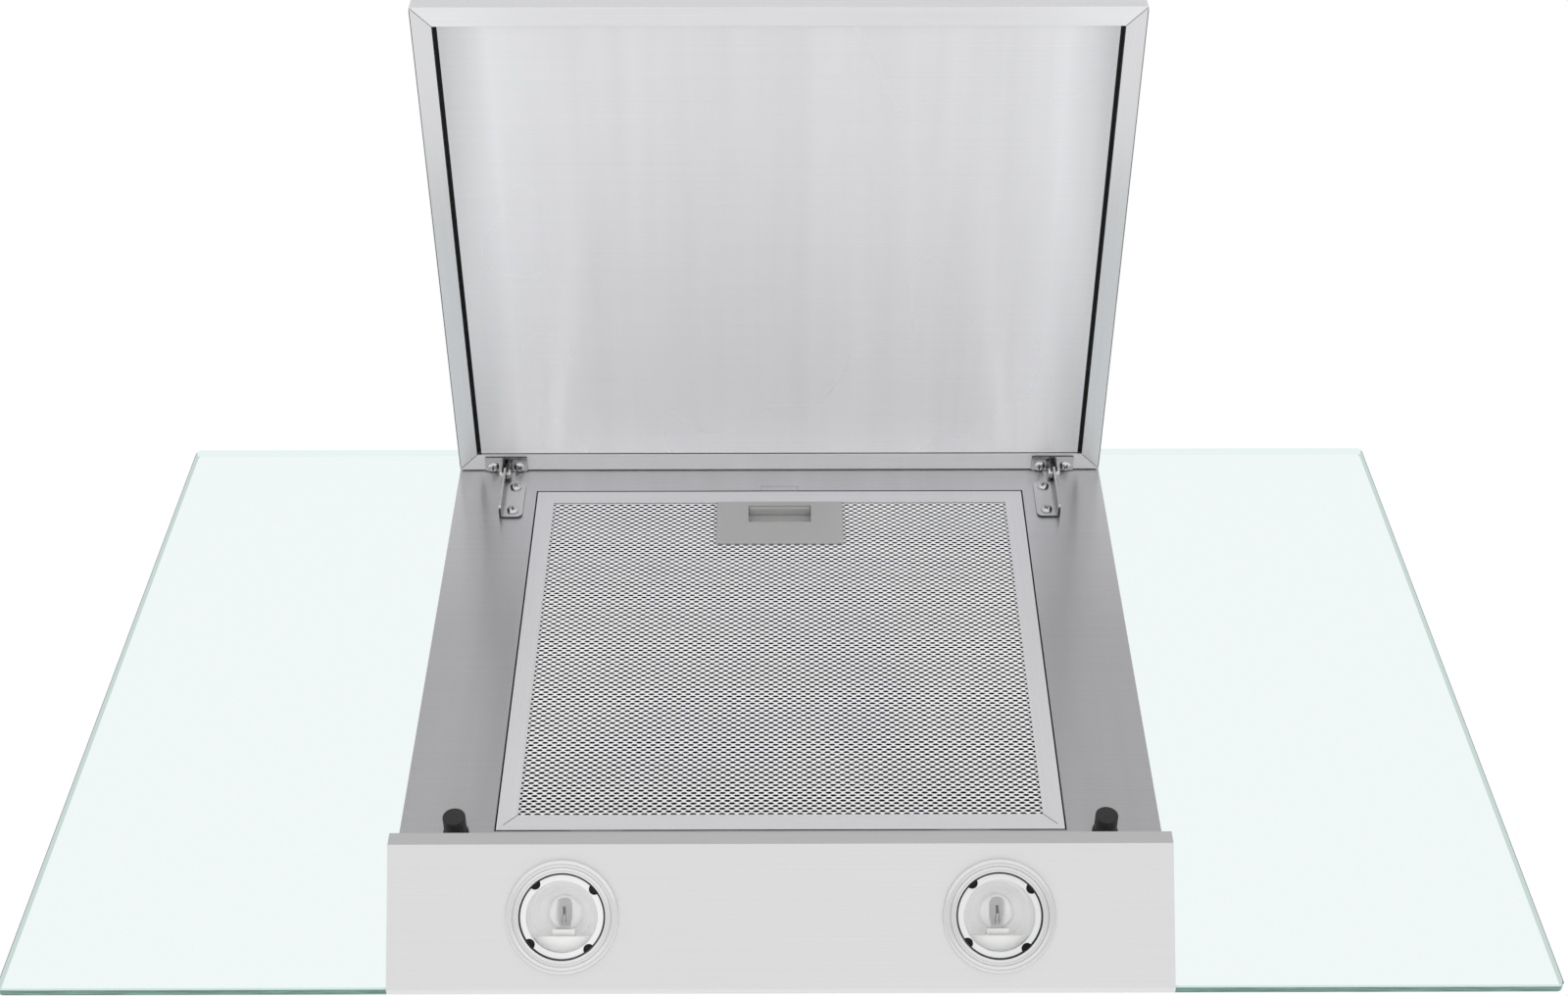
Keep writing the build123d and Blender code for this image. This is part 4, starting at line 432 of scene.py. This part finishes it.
# The panel flange's sides are painted a shade darker than its ends
panel_steel = brushed("panel_steel", rgb(232, 232, 234), rgb(238, 238, 240), across=(0, 0, 1), metallic=0.7,
                      mitre=PANEL_MITRE, painted_side_shade=0.86, shade=skin_painted_shade)
liner_steel = brushed("liner_steel", rgb(247, 247, 250), rgb(251, 251, 254), rough=(0.26, 0.28),
                      across=(0, 0, 1), stretch=1.0, metallic=0.4, shade=liner_painted_shade)
upright_steel = brushed("upright_steel", STEEL_DARK, STEEL_LIGHT, grain=(2400, 2400, 6), across=(1, 0, 0))
zinc = plain("zinc", rgb(164, 168, 172), rgb(178, 182, 186), rough=(0.35, 0.5), metallic=1.0, grain=60.0)
frame_metal = brushed("frame_metal", rgb(226, 225, 227), rgb(232, 231, 233), rough=(0.38, 0.42),
                      stretch=0.3, metallic=0.8, mitre=FILTER_MITRE)
# The foil core is near black so the mesh's holes show dark: painted shade inside the filter
foil_in_painted_shade = plain("foil_in_painted_shade", rgb(34, 34, 34), rgb(56, 56, 55), rough=(0.35, 0.55), metallic=1.0, grain=90.0)
nickel = plain("nickel", rgb(214, 214, 214), rgb(230, 230, 229), rough=(0.10, 0.18), metallic=1.0,
               grain=160.0, bump=0.08)
chrome = plain("chrome", rgb(230, 230, 231), rgb(238, 238, 239), rough=(0.05, 0.09), metallic=1.0, bump=0.02)
# Hinge plates with painted shade as dark outlines on their edges
hinge_foot = plain("hinge_foot", rgb(206, 206, 207), rgb(226, 226, 226), rough=(0.16, 0.24), metallic=1.0,
                   shade=edge_painted_shade("Z", 0.10))
hinge_ear = plain("hinge_ear", rgb(206, 206, 207), rgb(226, 226, 226), rough=(0.16, 0.24), metallic=1.0,
                  shade=edge_painted_shade("Y", 0.10))
reflector = plain("reflector", rgb(252, 252, 252), rgb(255, 255, 255), rough=(0.10, 0.18), metallic=0.25,
                  bump=0.15, grain=120.0)
expanded = plain("expanded_metal", rgb(250, 250, 252), rgb(254, 254, 255), rough=(0.3, 0.42), metallic=0.1,
                 grain=200.0)
ring_white = plain("ring_white", rgb(222, 223, 223), rgb(236, 236, 236), rough=(0.3, 0.4))
ceramic = plain("ceramic", rgb(240, 240, 238), rgb(248, 248, 246), rough=(0.4, 0.5))
filament = plain("filament", rgb(120, 118, 114), rgb(150, 148, 144), rough=(0.3, 0.4), metallic=1.0)
seam_and_shade_dark = plain("seam_and_shade_dark", rgb(62, 62, 63), rgb(84, 84, 85), rough=(0.6, 0.75))
black = plain("black_plastic", rgb(24, 24, 25), rgb(38, 38, 39), rough=(0.42, 0.6))
rubber = plain("rubber", rgb(26, 26, 26), rgb(40, 40, 40), rough=(0.7, 0.85))
handle_grey = plain("handle_grey", rgb(172, 172, 171), rgb(182, 182, 181), rough=(0.4, 0.5))
button_silver = plain("button_silver", rgb(178, 179, 180), rgb(196, 197, 198), rough=(0.25, 0.35),
                      metallic=0.6, bump=0.02)
board_green = plain("board_green", rgb(24, 82, 48), rgb(36, 104, 62), rough=(0.35, 0.5))
potting = plain("potting", rgb(38, 38, 42), rgb(54, 54, 58), rough=(0.45, 0.6))
motor_grey = plain("motor_grey", rgb(58, 60, 62), rgb(78, 80, 82), rough=(0.5, 0.65), metallic=0.3)
fan_black = plain("fan_black", rgb(34, 34, 36), rgb(50, 50, 52), rough=(0.4, 0.55))
# Near-black foam; where it shows in the panel's gaps it stands in for shadow
foam = plain("foam", rgb(22, 22, 22), rgb(34, 34, 34), rough=(0.85, 0.95), grain=900.0, bump=0.4)
clear_lens = lens_glass("clear_lens", LENS_BODY)
quartz = lens_glass("quartz", QUARTZ_BODY)

dress(glass, "glass_canopy")
dress(rubber, "glass_seal_lower", "glass_seal_upper")
dress(plate_steel, "underside_pan", "latch_keeper")
dress(fascia_steel, "light_fascia")
dress(panel_steel, "panel_skin")
dress(liner_steel, "panel_liner")
dress(foam, "panel_core")
dress(upright_steel, "lower_duct_cover", "upper_duct_cover")
dress(housing_steel, "upper_housing", "rear_return")
dress(zinc, "motor_box", "motor_box_lid", "blower_scroll", "motor_bracket", "back_plate")
dress(frame_metal, "filter_frame", "filter_mesh_lower", "filter_mesh_upper")
dress(foil_in_painted_shade, "filter_core")
dress(handle_grey, "filter_handle", "filter_latch")
dress(nickel, "latch_spring", "hinge_pins", "hinge_bracket_screws", "hinge_plate_screws",
      "glass_fixings", "damper_spindle")
dress(black, "panel_catches", "outlet_collar", "damper_flap_front", "damper_flap_rear", "cable_gland")
dress(board_green, "control_board")
dress(potting, "lamp_transformer")
dress(motor_grey, "blower_motor")
dress(fan_black, "impeller")
for side in ("left", "right"):
    dress(hinge_foot, f"hinge_bracket_{side}")
    dress(hinge_ear, f"hinge_plate_{side}")
    dress(chrome, f"lamp_bezel_{side}")
    dress(reflector, f"lamp_reflector_{side}")
    dress(ring_white, f"lamp_ring_{side}")
    dress(clear_lens, f"lamp_lens_{side}")
    dress(quartz, f"lamp_bulb_{side}")
    dress(ceramic, f"lamp_socket_{side}")
dress(button_silver, *[f"button_{i}" for i in range(1, 6)])


# Mesh helpers
WELD = 1e-7


def mesh_of(verts, faces):
    """A mesh from points and faces."""
    mesh = bpy.data.meshes.new("piece")
    mesh.from_pydata(verts, [], faces)
    mesh.update()
    return mesh


def welded(mesh):
    """The mesh with its meeting points joined and its faces turned outward."""
    work = bmesh.new()
    work.from_mesh(mesh)
    bmesh.ops.remove_doubles(work, verts=work.verts, dist=WELD)
    bmesh.ops.recalc_face_normals(work, faces=work.faces)
    work.to_mesh(mesh)
    work.free()
    return mesh


def band_faces(base, bands, count):
    """Faces between closed rings of count points each, the first ring starting at base."""
    faces = []
    for start in range(base, base + bands * count, count):
        for k in range(count):
            n = (k + 1) % count
            faces.append((start + k, start + k + count, start + n + count, start + n))
    return faces


def make_piece(name, mesh, material, body, smooth=False):
    """A new piece from mesh data, riding on a body."""
    mesh.name = name
    piece = bpy.data.objects.new(name, mesh)
    bpy.context.scene.collection.objects.link(piece)
    mesh.materials.append(material)
    if smooth:
        mesh.shade_smooth()
    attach(piece, body)
    return piece


# Expanded metal on both faces of the filter: a staggered lattice of lozenge cells with tilted strands
MESH_PITCH_X = 5.82 * MM
MESH_PITCH_Y = 4.27 * MM
MESH_DEPTH = 0.3 * MM
MESH_TILT = 0.25 * MM
MESH_REST = 0.1 * MM
MESH_INSET = 0.1 * MM
HANDLE_MARGIN = 2.0 * MM
HOLE_TIP = 0.78
HOLE_SIDE = (0.30, 0.52)


def lattice_mesh(low, high, face_z, inward, keep_out):
    """Lozenge cells between two corners, each with a six-sided hole: flats at face_z, walls going inward.

    Cells whose middle lies in keep_out are left away."""
    columns = int((high[0] - low[0]) / MESH_PITCH_X)
    rows = int((high[1] - low[1]) / MESH_PITCH_Y)
    middle_x = (low[0] + high[0]) / 2
    middle_y = (low[1] + high[1]) / 2
    wide, deep = HOLE_SIDE
    corners = ((1, 0), (0, 1), (-1, 0), (0, -1))
    holes = ((HOLE_TIP, 0), (wide, deep), (-wide, deep), (-HOLE_TIP, 0), (-wide, -deep), (wide, -deep))
    cell = [(u, v, 0.0) for u, v in corners]
    cell += [(u, v, MESH_REST + MESH_TILT * (1 if v > 0 else -1 if v < 0 else 0)) for u, v in holes]
    cell += [(u, v, MESH_DEPTH) for u, v in holes]
    cell_faces = [(0, 4, 5, 1), (1, 5, 6), (1, 6, 7, 2), (2, 7, 8, 3), (3, 8, 9), (3, 9, 4, 0)]
    for k in range(len(holes)):
        n = (k + 1) % len(holes)
        cell_faces.append((4 + k, 10 + k, 10 + n, 4 + n))
    verts, faces = [], []
    for phase in (0, 1):
        for i in range(columns + 1 - phase):
            for j in range(rows + 1 - phase):
                x = middle_x + (i - columns / 2 + phase / 2) * MESH_PITCH_X
                y = middle_y + (j - rows / 2 + phase / 2) * MESH_PITCH_Y
                if keep_out[0] < x < keep_out[1] and keep_out[2] < y < keep_out[3]:
                    continue
                start = len(verts)
                for u, v, depth in cell:
                    place = (x + u * MESH_PITCH_X / 2, y + v * MESH_PITCH_Y / 2, face_z + inward * depth)
                    verts.append(place)
                faces += [tuple(start + k for k in face) for face in cell_faces]
    if inward < 0:
        faces = [tuple(reversed(face)) for face in faces]
    return mesh_of(verts, faces)


mesh_low, mesh_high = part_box("filter_mesh_lower")
upper_low, upper_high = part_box("filter_mesh_upper")
handle_low, handle_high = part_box("filter_handle")
behind_handle = (handle_low[0], handle_high[0], handle_low[1] + HANDLE_MARGIN, handle_high[1])
lower_lattice = lattice_mesh(mesh_low, mesh_high, mesh_low[2] + MESH_INSET, 1, behind_handle)
lower_mesh = make_piece("expanded_mesh", lower_lattice, expanded, "filter")
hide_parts("filter_mesh_lower")
upper_lattice = lattice_mesh(upper_low, upper_high, upper_high[2] - MESH_INSET, -1, behind_handle)
upper_mesh = make_piece("expanded_mesh_upper", upper_lattice, expanded, "filter")
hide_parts("filter_mesh_upper")

# Seams: thin dark strips on the mitred corners of the panel's flange and of the filter's frame, as dark
# joints, and painted shade as dark outlines along the flange's long edges
SEAM_WIDTH = 0.45 * MM
SEAM_LIFT = 0.04 * MM
PANEL_FLANGE = 13.0 * MM
CORNER_GAP = 0.6 * MM
EDGE_INSET = 0.5 * MM
EDGE_GAP = 2.0 * MM
FOAM_DEPTH = 2.2 * MM
FOAM_WIDTH = 2.8 * MM
FILTER_BAND = 12.0 * MM
FILTER_LENGTH = 317.5 * MM
FILTER_CORNER_GAP = 4.0 * MM


def seam_mesh(lines, lift, width=SEAM_WIDTH):
    """Strips between pairs of points, each a shallow raised ridge facing along lift."""
    verts, faces = [], []
    lift = Vector(lift)
    for start, end in lines:
        start, end = Vector(start), Vector(end)
        side = (end - start).cross(lift).normalized() * width / 2
        base = len(verts)
        for point in (start, end):
            verts += [point - side, point + lift.normalized() * SEAM_LIFT, point + side]
        faces += [(base, base + 1, base + 4, base + 3), (base + 1, base + 2, base + 5, base + 4)]
    return mesh_of(verts, faces)


skin_low, skin_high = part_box("panel_skin")
flange_y = skin_low[1]
flange_sides = ((skin_low[0], 1), (skin_high[0], -1))
seams = []
for x, inward in flange_sides:
    for z, up in ((skin_low[2], 1), (skin_high[2], -1)):
        seams.append(((x + inward * CORNER_GAP, flange_y, z + up * CORNER_GAP),
                      (x + inward * PANEL_FLANGE, flange_y, z + up * PANEL_FLANGE)))
# The strips along the flange's long edges are painted shade
for x, inward in flange_sides:
    seams.append(((x + inward * EDGE_INSET, flange_y, skin_low[2] + EDGE_GAP),
                  (x + inward * EDGE_INSET, flange_y, skin_high[2] - EDGE_GAP)))
make_piece("panel_seams_and_edge_shade", seam_mesh(seams, (0, -1, 0)), seam_and_shade_dark, "panel")

# Dark foam strips in the gap between liner and flange: the damping core's edges, and painted shadow that
# darkens the gap
liner_low, liner_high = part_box("panel_liner")
gap_x = (liner_high[0] + skin_high[0] - PANEL_FLANGE) / 2
gap_y = liner_low[1] + FOAM_DEPTH
gap_shadow_strips = [((side * gap_x, gap_y, skin_low[2] + PANEL_FLANGE),
               (side * gap_x, gap_y, skin_high[2] - PANEL_FLANGE)) for side in (-1, 1)]
make_piece("core_edges_and_gap_shadow", seam_mesh(gap_shadow_strips, (0, -1, 0), FOAM_WIDTH), foam, "panel")

frame_low, frame_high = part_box("filter_frame")
frame_front = frame_high[1] - FILTER_LENGTH
seams = [((x + inward * FILTER_CORNER_GAP, frame_front + FILTER_CORNER_GAP, frame_low[2]),
          (x + inward * FILTER_BAND, frame_front + FILTER_BAND, frame_low[2]))
         for x, inward in ((frame_low[0], 1), (frame_high[0], -1))]
make_piece("filter_seams", seam_mesh(seams, (0, 0, -1)), seam_and_shade_dark, "filter")

# Pan-head screws with a cross recess, standing for the plain CAD heads
HEAD_RADIUS = 3.9 * MM
HEAD_HEIGHT = 2.5 * MM
HEAD_FALL = 0.62
HEAD_POWER = 3.2
HEAD_POINTS = 48
HEAD_RINGS = 16
SHANK_RADIUS = 2.0 * MM
SHANK_LENGTH = 5.0 * MM
RECESS_ARM = 2.3 * MM
RECESS_HALF = 0.55 * MM
RECESS_DEPTH = 1.1 * MM
RECESS_RISE = 0.75
SCREW_TURN = 0.7
FOOT_SCREW_X = 184.7 * MM
FOOT_SCREWS_Y = (-116.0 * MM, -90.6 * MM)
FOOT_FACE_Z = -35.5 * MM
FOOT_TURN = 0.4
HINGE_X = 192.8 * MM
PLATE_SCREW_STEP = 9.25 * MM
PLATE_SCREW_Z = -38.5 * MM
PLATE_FACE_Y = -71.2 * MM
PLATE_TURN = 0.9


def screw_mesh(seats, outward, turn):
    """Screw heads on their seats: a domed polar grid pressed in along a cross, with rim and shank."""
    outward = Vector(outward)
    right = Vector((1, 0, 0))
    up = outward.cross(right)
    shank = ((HEAD_RADIUS, 0.0), (SHANK_RADIUS, 0.0), (SHANK_RADIUS, -SHANK_LENGTH), (0.0, -SHANK_LENGTH))
    angles = [2 * pi * k / HEAD_POINTS for k in range(HEAD_POINTS)]
    verts, faces, sunk = [], [], set()

    def place(seat, radius, angle, height):
        u, v = radius * cos(angle), radius * sin(angle)
        verts.append(seat + right * u + up * v + outward * height)

    for number, seat in enumerate(seats):
        seat = Vector(seat)
        spin = turn + number * SCREW_TURN
        base = len(verts)
        for ring in range(HEAD_RINGS + 1):
            share = ring / HEAD_RINGS
            radius = HEAD_RADIUS * share
            for angle in angles:
                height = HEAD_HEIGHT * (1 - HEAD_FALL * share ** HEAD_POWER)
                u = abs(radius * cos(angle - spin))
                v = abs(radius * sin(angle - spin))
                reach = max(u, v)
                if min(u, v) < RECESS_HALF and reach < RECESS_ARM:
                    height -= RECESS_DEPTH * (1 - RECESS_RISE * reach / RECESS_ARM)
                    sunk.add(len(verts))
                place(seat, radius, angle, height)
        for radius, height in shank:
            for angle in angles:
                place(seat, radius, angle, height)
        faces += band_faces(base, HEAD_RINGS + len(shank), HEAD_POINTS)
    mesh = mesh_of(verts, faces)
    # Faces in the cross recess take the second, dark material: painted shade in the recess
    for polygon in mesh.polygons:
        polygon.material_index = 1 if sum(v in sunk for v in polygon.vertices) > 2 else 0
    return welded(mesh)


foot_seats = [(side * FOOT_SCREW_X, y, FOOT_FACE_Z) for side in (-1, 1) for y in FOOT_SCREWS_Y]
foot_screws = make_piece("bracket_screw_heads", screw_mesh(foot_seats, (0, 0, -1), FOOT_TURN), nickel,
                         "hood", smooth=True)
# The dark second material is painted shade in the cross recesses
foot_screws.data.materials.append(seam_and_shade_dark)
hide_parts("hinge_bracket_screws")
plate_seats = [(side * HINGE_X + step, PLATE_FACE_Y, PLATE_SCREW_Z)
               for side in (-1, 1) for step in (-PLATE_SCREW_STEP, PLATE_SCREW_STEP)]
plate_screws = make_piece("plate_screw_heads", screw_mesh(plate_seats, (0, -1, 0), PLATE_TURN), nickel,
                          "panel", smooth=True)
plate_screws.data.materials.append(seam_and_shade_dark)
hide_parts("hinge_plate_screws")

# Lamp details in each lamp's own axes: X along the hood, Y towards the glass and Z out of the fascia.
# Numbers of the lamps are in millimetres of these axes.
LAMP_X = 125.5 * MM
LAMP_OUT = Vector((0, -0.7221, -0.6917)).normalized()
LAMP_MIDDLE = Vector((0, -474.95 * MM, -30.3 * MM))
LATHE_POINTS = 96
BOWL_STEPS = 24
BAND_STEPS = 16
# Black rubber ring round each lamp ring, showing as a dark line between ring and bezel; its floor under the
# ring's notches is a dark sheet put there as painted shadow
DARK_RING_PROFILE = ((21.0, -2.0), (21.0, -1.6), (24.22, -1.6), (24.22, 0.62), (23.9, 0.62), (23.9, 0.85),
                  (24.58, 0.85), (24.58, -2.0), (21.0, -2.0))
SHELF_RADIUS = 21.3
SHELF_CHORD = 11.8
SHELF_STEPS = 24
SHELF_LEVELS = ((-7.0, 0.6), (-7.6, 0.0), (-9.0, 0.0))
FILAMENT_RADIUS = 0.7
FILAMENT_DEPTH = -14.3
FILAMENT_FOOT = -4.5
FILAMENT_STEP = 0.8
FILAMENT_RISE = 0.06
FILAMENT_POINTS = 80
FILAMENT_WIRE = 0.16 * MM


def lamp_place(side, x, y, z):
    """Point of a lamp given in millimetres of its own axes."""
    across = LAMP_OUT.cross(Vector((1, 0, 0)))
    return tuple(Vector((side * LAMP_X + x * MM, 0, 0)) + LAMP_MIDDLE + across * y * MM + LAMP_OUT * z * MM)


def turned_mesh(side, profile):
    """Lathed form about a lamp's axis from a profile of radius and height."""
    verts = []
    for radius, height in profile:
        for k in range(LATHE_POINTS):
            angle = 2 * pi * k / LATHE_POINTS
            verts.append(lamp_place(side, radius * cos(angle), radius * sin(angle), height))
    return welded(mesh_of(verts, band_faces(0, len(profile) - 1, LATHE_POINTS)))


def bowl_profile():
    """Reflector: flat rim, a step, a bowl with rings pressed in it, and the plain outside."""
    inside = [(25.4, -5.3), (22.6, -5.3), (22.3, -6.2), (21.7, -6.4)]
    for i in range(1, BOWL_STEPS + 1):
        share = i / BOWL_STEPS
        radius = 21.6 - 11.2 * share ** 1.25
        depth = -6.4 - 18.4 * share ** 0.8
        inside.append((radius + (0.35 if i % 8 == 0 else 0.0), depth))
    inside += [(8.0, -25.2), (0.0, -25.3)]
    outside = [(0.0, -26.0), (12.2, -26.0), (23.2, -6.2), (25.4, -6.2), (25.4, -5.3)]
    return inside + outside


def bezel_profile():
    """Bezel from the bore outward: a rounded inner band, a fine groove and a rounded outer band."""
    profile = [(24.7, -2.0), (24.7, 0.9)]
    for middle, half, rise, foot in ((26.5, 1.7, 1.15, 1.1), (30.4, 2.1, 1.35, 1.0)):
        for i in range(BAND_STEPS + 1):
            angle = pi * (1 - i / BAND_STEPS)
            profile.append((middle + half * cos(angle), foot + rise * sin(angle) ** 0.8))
    profile += [(32.65, 0.4), (32.65, 0.05), (24.7, -2.0)]
    return profile


def tube_mesh(paths, radius, sides=6, reference=(0.3, 0.2, 0.93)):
    """Round wires along lists of points, none of which runs along the reference direction."""
    verts, faces = [], []
    for path in paths:
        points = [Vector(p) for p in path]
        base = len(verts)
        for i, point in enumerate(points):
            ahead = (points[min(i + 1, len(points) - 1)] - points[max(i - 1, 0)]).normalized()
            side = ahead.cross(Vector(reference)).normalized()
            up = ahead.cross(side)
            for k in range(sides):
                angle = 2 * pi * k / sides
                verts.append(tuple(point + (side * cos(angle) + up * sin(angle)) * radius))
        faces += band_faces(base, len(points) - 1, sides)
        faces.append(tuple(base + k for k in range(sides)))
        faces.append(tuple(base + (len(points) - 1) * sides + k for k in reversed(range(sides))))
    return mesh_of(verts, faces)


def shelf_mesh(side):
    """Pale housing across the foot of the bowl: a segment of a disc with a turned-down front edge."""
    start = atan2(SHELF_CHORD, sqrt(SHELF_RADIUS ** 2 - SHELF_CHORD ** 2))
    angles = [start + (pi - 2 * start) * i / SHELF_STEPS for i in range(SHELF_STEPS + 1)]
    count = len(angles)
    verts = []
    for height, inset in SHELF_LEVELS:
        for angle in angles:
            x = SHELF_RADIUS * cos(angle) * (1 - inset / SHELF_RADIUS)
            y = SHELF_RADIUS * sin(angle) * (1 - inset / SHELF_RADIUS)
            verts.append(lamp_place(side, x, max(y, SHELF_CHORD + inset), height))
    faces = band_faces(0, len(SHELF_LEVELS) - 1, count)
    faces.append(tuple(range(count)))
    faces.append(tuple(reversed(range(2 * count, 3 * count))))
    return mesh_of(verts, faces)


def filament_mesh(side):
    """Coiled filament with a bent leg at each end."""
    coil = [lamp_place(side, FILAMENT_RADIUS * cos(i * FILAMENT_STEP), FILAMENT_FOOT + i * FILAMENT_RISE,
                       FILAMENT_DEPTH + FILAMENT_RADIUS * sin(i * FILAMENT_STEP))
            for i in range(FILAMENT_POINTS)]
    legs = [[lamp_place(side, x * end, y, FILAMENT_DEPTH)
             for x, y in ((1.2, 6.0), (1.1, 2.5), (FILAMENT_RADIUS, 0.3 if end > 0 else -4.6))]
            for end in (-1, 1)]
    return tube_mesh([coil] + legs, FILAMENT_WIRE)


for label, side in (("left", -1), ("right", 1)):
    bowl = make_piece(f"lamp_bowl_{label}", turned_mesh(side, bowl_profile()), reflector, "hood",
                      smooth=True)
    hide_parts(f"lamp_reflector_{label}")
    bezel = make_piece(f"lamp_trim_{label}", turned_mesh(side, bezel_profile()), chrome, "hood",
                       smooth=True)
    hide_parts(f"lamp_bezel_{label}")
    # Black ring with painted shadow under the lamp ring's notches
    make_piece(f"lamp_dark_ring_{label}", turned_mesh(side, DARK_RING_PROFILE), rubber,
               f"lamp_ring_{label}")
    make_piece(f"lamp_shelf_{label}", shelf_mesh(side), ceramic, "hood")
    make_piece(f"lamp_filament_{label}", filament_mesh(side), filament, "hood")

# Latch spring: a coil of wire filling the spring's box, riding on the filter with a mesh of its own
SPRING_TURNS = 5
TURN_POINTS = 24
SPRING_WIRE = 0.3 * MM
SPRING_SIDES = 8
SPRING_END = 1.2 * SPRING_WIRE
spring_low, spring_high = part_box("latch_spring")
spring_middle = (spring_low + spring_high) / 2
spring_length = spring_high[1] - spring_low[1]
spring_radius = (spring_high[0] - spring_low[0]) / 2 - SPRING_WIRE
steps = TURN_POINTS * SPRING_TURNS
coil = [(spring_middle[0] + spring_radius * cos(2 * pi * i / TURN_POINTS),
         spring_low[1] + SPRING_END + (spring_length - 2 * SPRING_END) * i / steps,
         spring_middle[2] + spring_radius * sin(2 * pi * i / TURN_POINTS)) for i in range(steps + 1)]
spring = make_piece("latch_coil", tube_mesh([coil], SPRING_WIRE, SPRING_SIDES, (0, 1, 0)), nickel, "filter",
                    smooth=True)
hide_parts("latch_spring")
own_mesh(spring)

# World: plain soft light on the object, white where it is seen directly, in metal or through glass
world = bpy.data.worlds.new("studio")
bpy.context.scene.world = world
world.use_nodes = True
tree = world.node_tree
tree.nodes.clear()
rays = add_node(tree, "ShaderNodeLightPath").outputs
seen = worked(tree, "MAXIMUM", rays["Is Camera Ray"], rays["Is Transmission Ray"])
shiny = worked(tree, "MAXIMUM", seen, rays["Is Glossy Ray"])
soft = add_node(tree, "ShaderNodeBackground", {"Color": WHITE, "Strength": WORLD_LIGHT})
white = add_node(tree, "ShaderNodeBackground", {"Color": WHITE, "Strength": 1.0})
output = add_node(tree, "ShaderNodeOutputWorld")
studio = mixed(tree, shiny, soft.outputs["Background"], white.outputs["Background"])
join(tree, studio, output.inputs["Surface"])

# Floor, far below as in a kitchen
half = FLOOR_SIZE / 2
floor_corners = [(x * half, y * half, FLOOR_Z) for x, y in ((-1, -1), (1, -1), (1, 1), (-1, 1))]
floor_mesh = mesh_of(floor_corners, [(0, 1, 2, 3)])
floor_mesh.name = "floor"
floor_mesh.materials.append(floor_white())
floor = bpy.data.objects.new("floor", floor_mesh)
bpy.context.scene.collection.objects.link(floor)


def area_light(name, place, target, width, height, power):
    """Soft box facing a point."""
    data = bpy.data.lights.new(name, "AREA")
    data.shape = "RECTANGLE"
    data.size = width
    data.size_y = height
    data.energy = power
    light = bpy.data.objects.new(name, data)
    light.location = place
    light.rotation_euler = (Vector(target) - Vector(place)).to_track_quat("-Z", "Y").to_euler()
    light.visible_glossy = False
    light.visible_camera = False
    bpy.context.scene.collection.objects.link(light)


area_light("front_box", (0.0, -2.3, -1.1), (0, -0.3, -0.1), width=3.0, height=1.6, power=16)
area_light("top_box", (0.0, -0.8, 1.8), (0, -0.2, 0), width=2.5, height=1.6, power=24)

# Camera
camera_data = bpy.data.cameras.new("camera")
camera_data.sensor_fit = "HORIZONTAL"
camera_data.sensor_width = SENSOR_WIDTH
camera_data.lens = FOCAL_PIXELS / PICTURE_WIDTH * SENSOR_WIDTH
camera_data.clip_end = CAMERA_REACH
camera = bpy.data.objects.new("camera", camera_data)
level = cos(CAMERA_PITCH)
ahead = Vector((-sin(CAMERA_YAW) * level, cos(CAMERA_YAW) * level, sin(CAMERA_PITCH)))
right = Vector((-cos(CAMERA_YAW), -sin(CAMERA_YAW), 0))
down = ahead.cross(right)
turned_right = right * cos(CAMERA_ROLL) + down * sin(CAMERA_ROLL)
turned_down = down * cos(CAMERA_ROLL) - right * sin(CAMERA_ROLL)
turn = Matrix((turned_right, -turned_down, -ahead)).transposed()
camera.matrix_world = Matrix.Translation(CAMERA_PLACE) @ turn.to_4x4()
bpy.context.scene.collection.objects.link(camera)
bpy.context.scene.camera = camera
bpy.context.scene.view_settings.view_transform = "Standard"
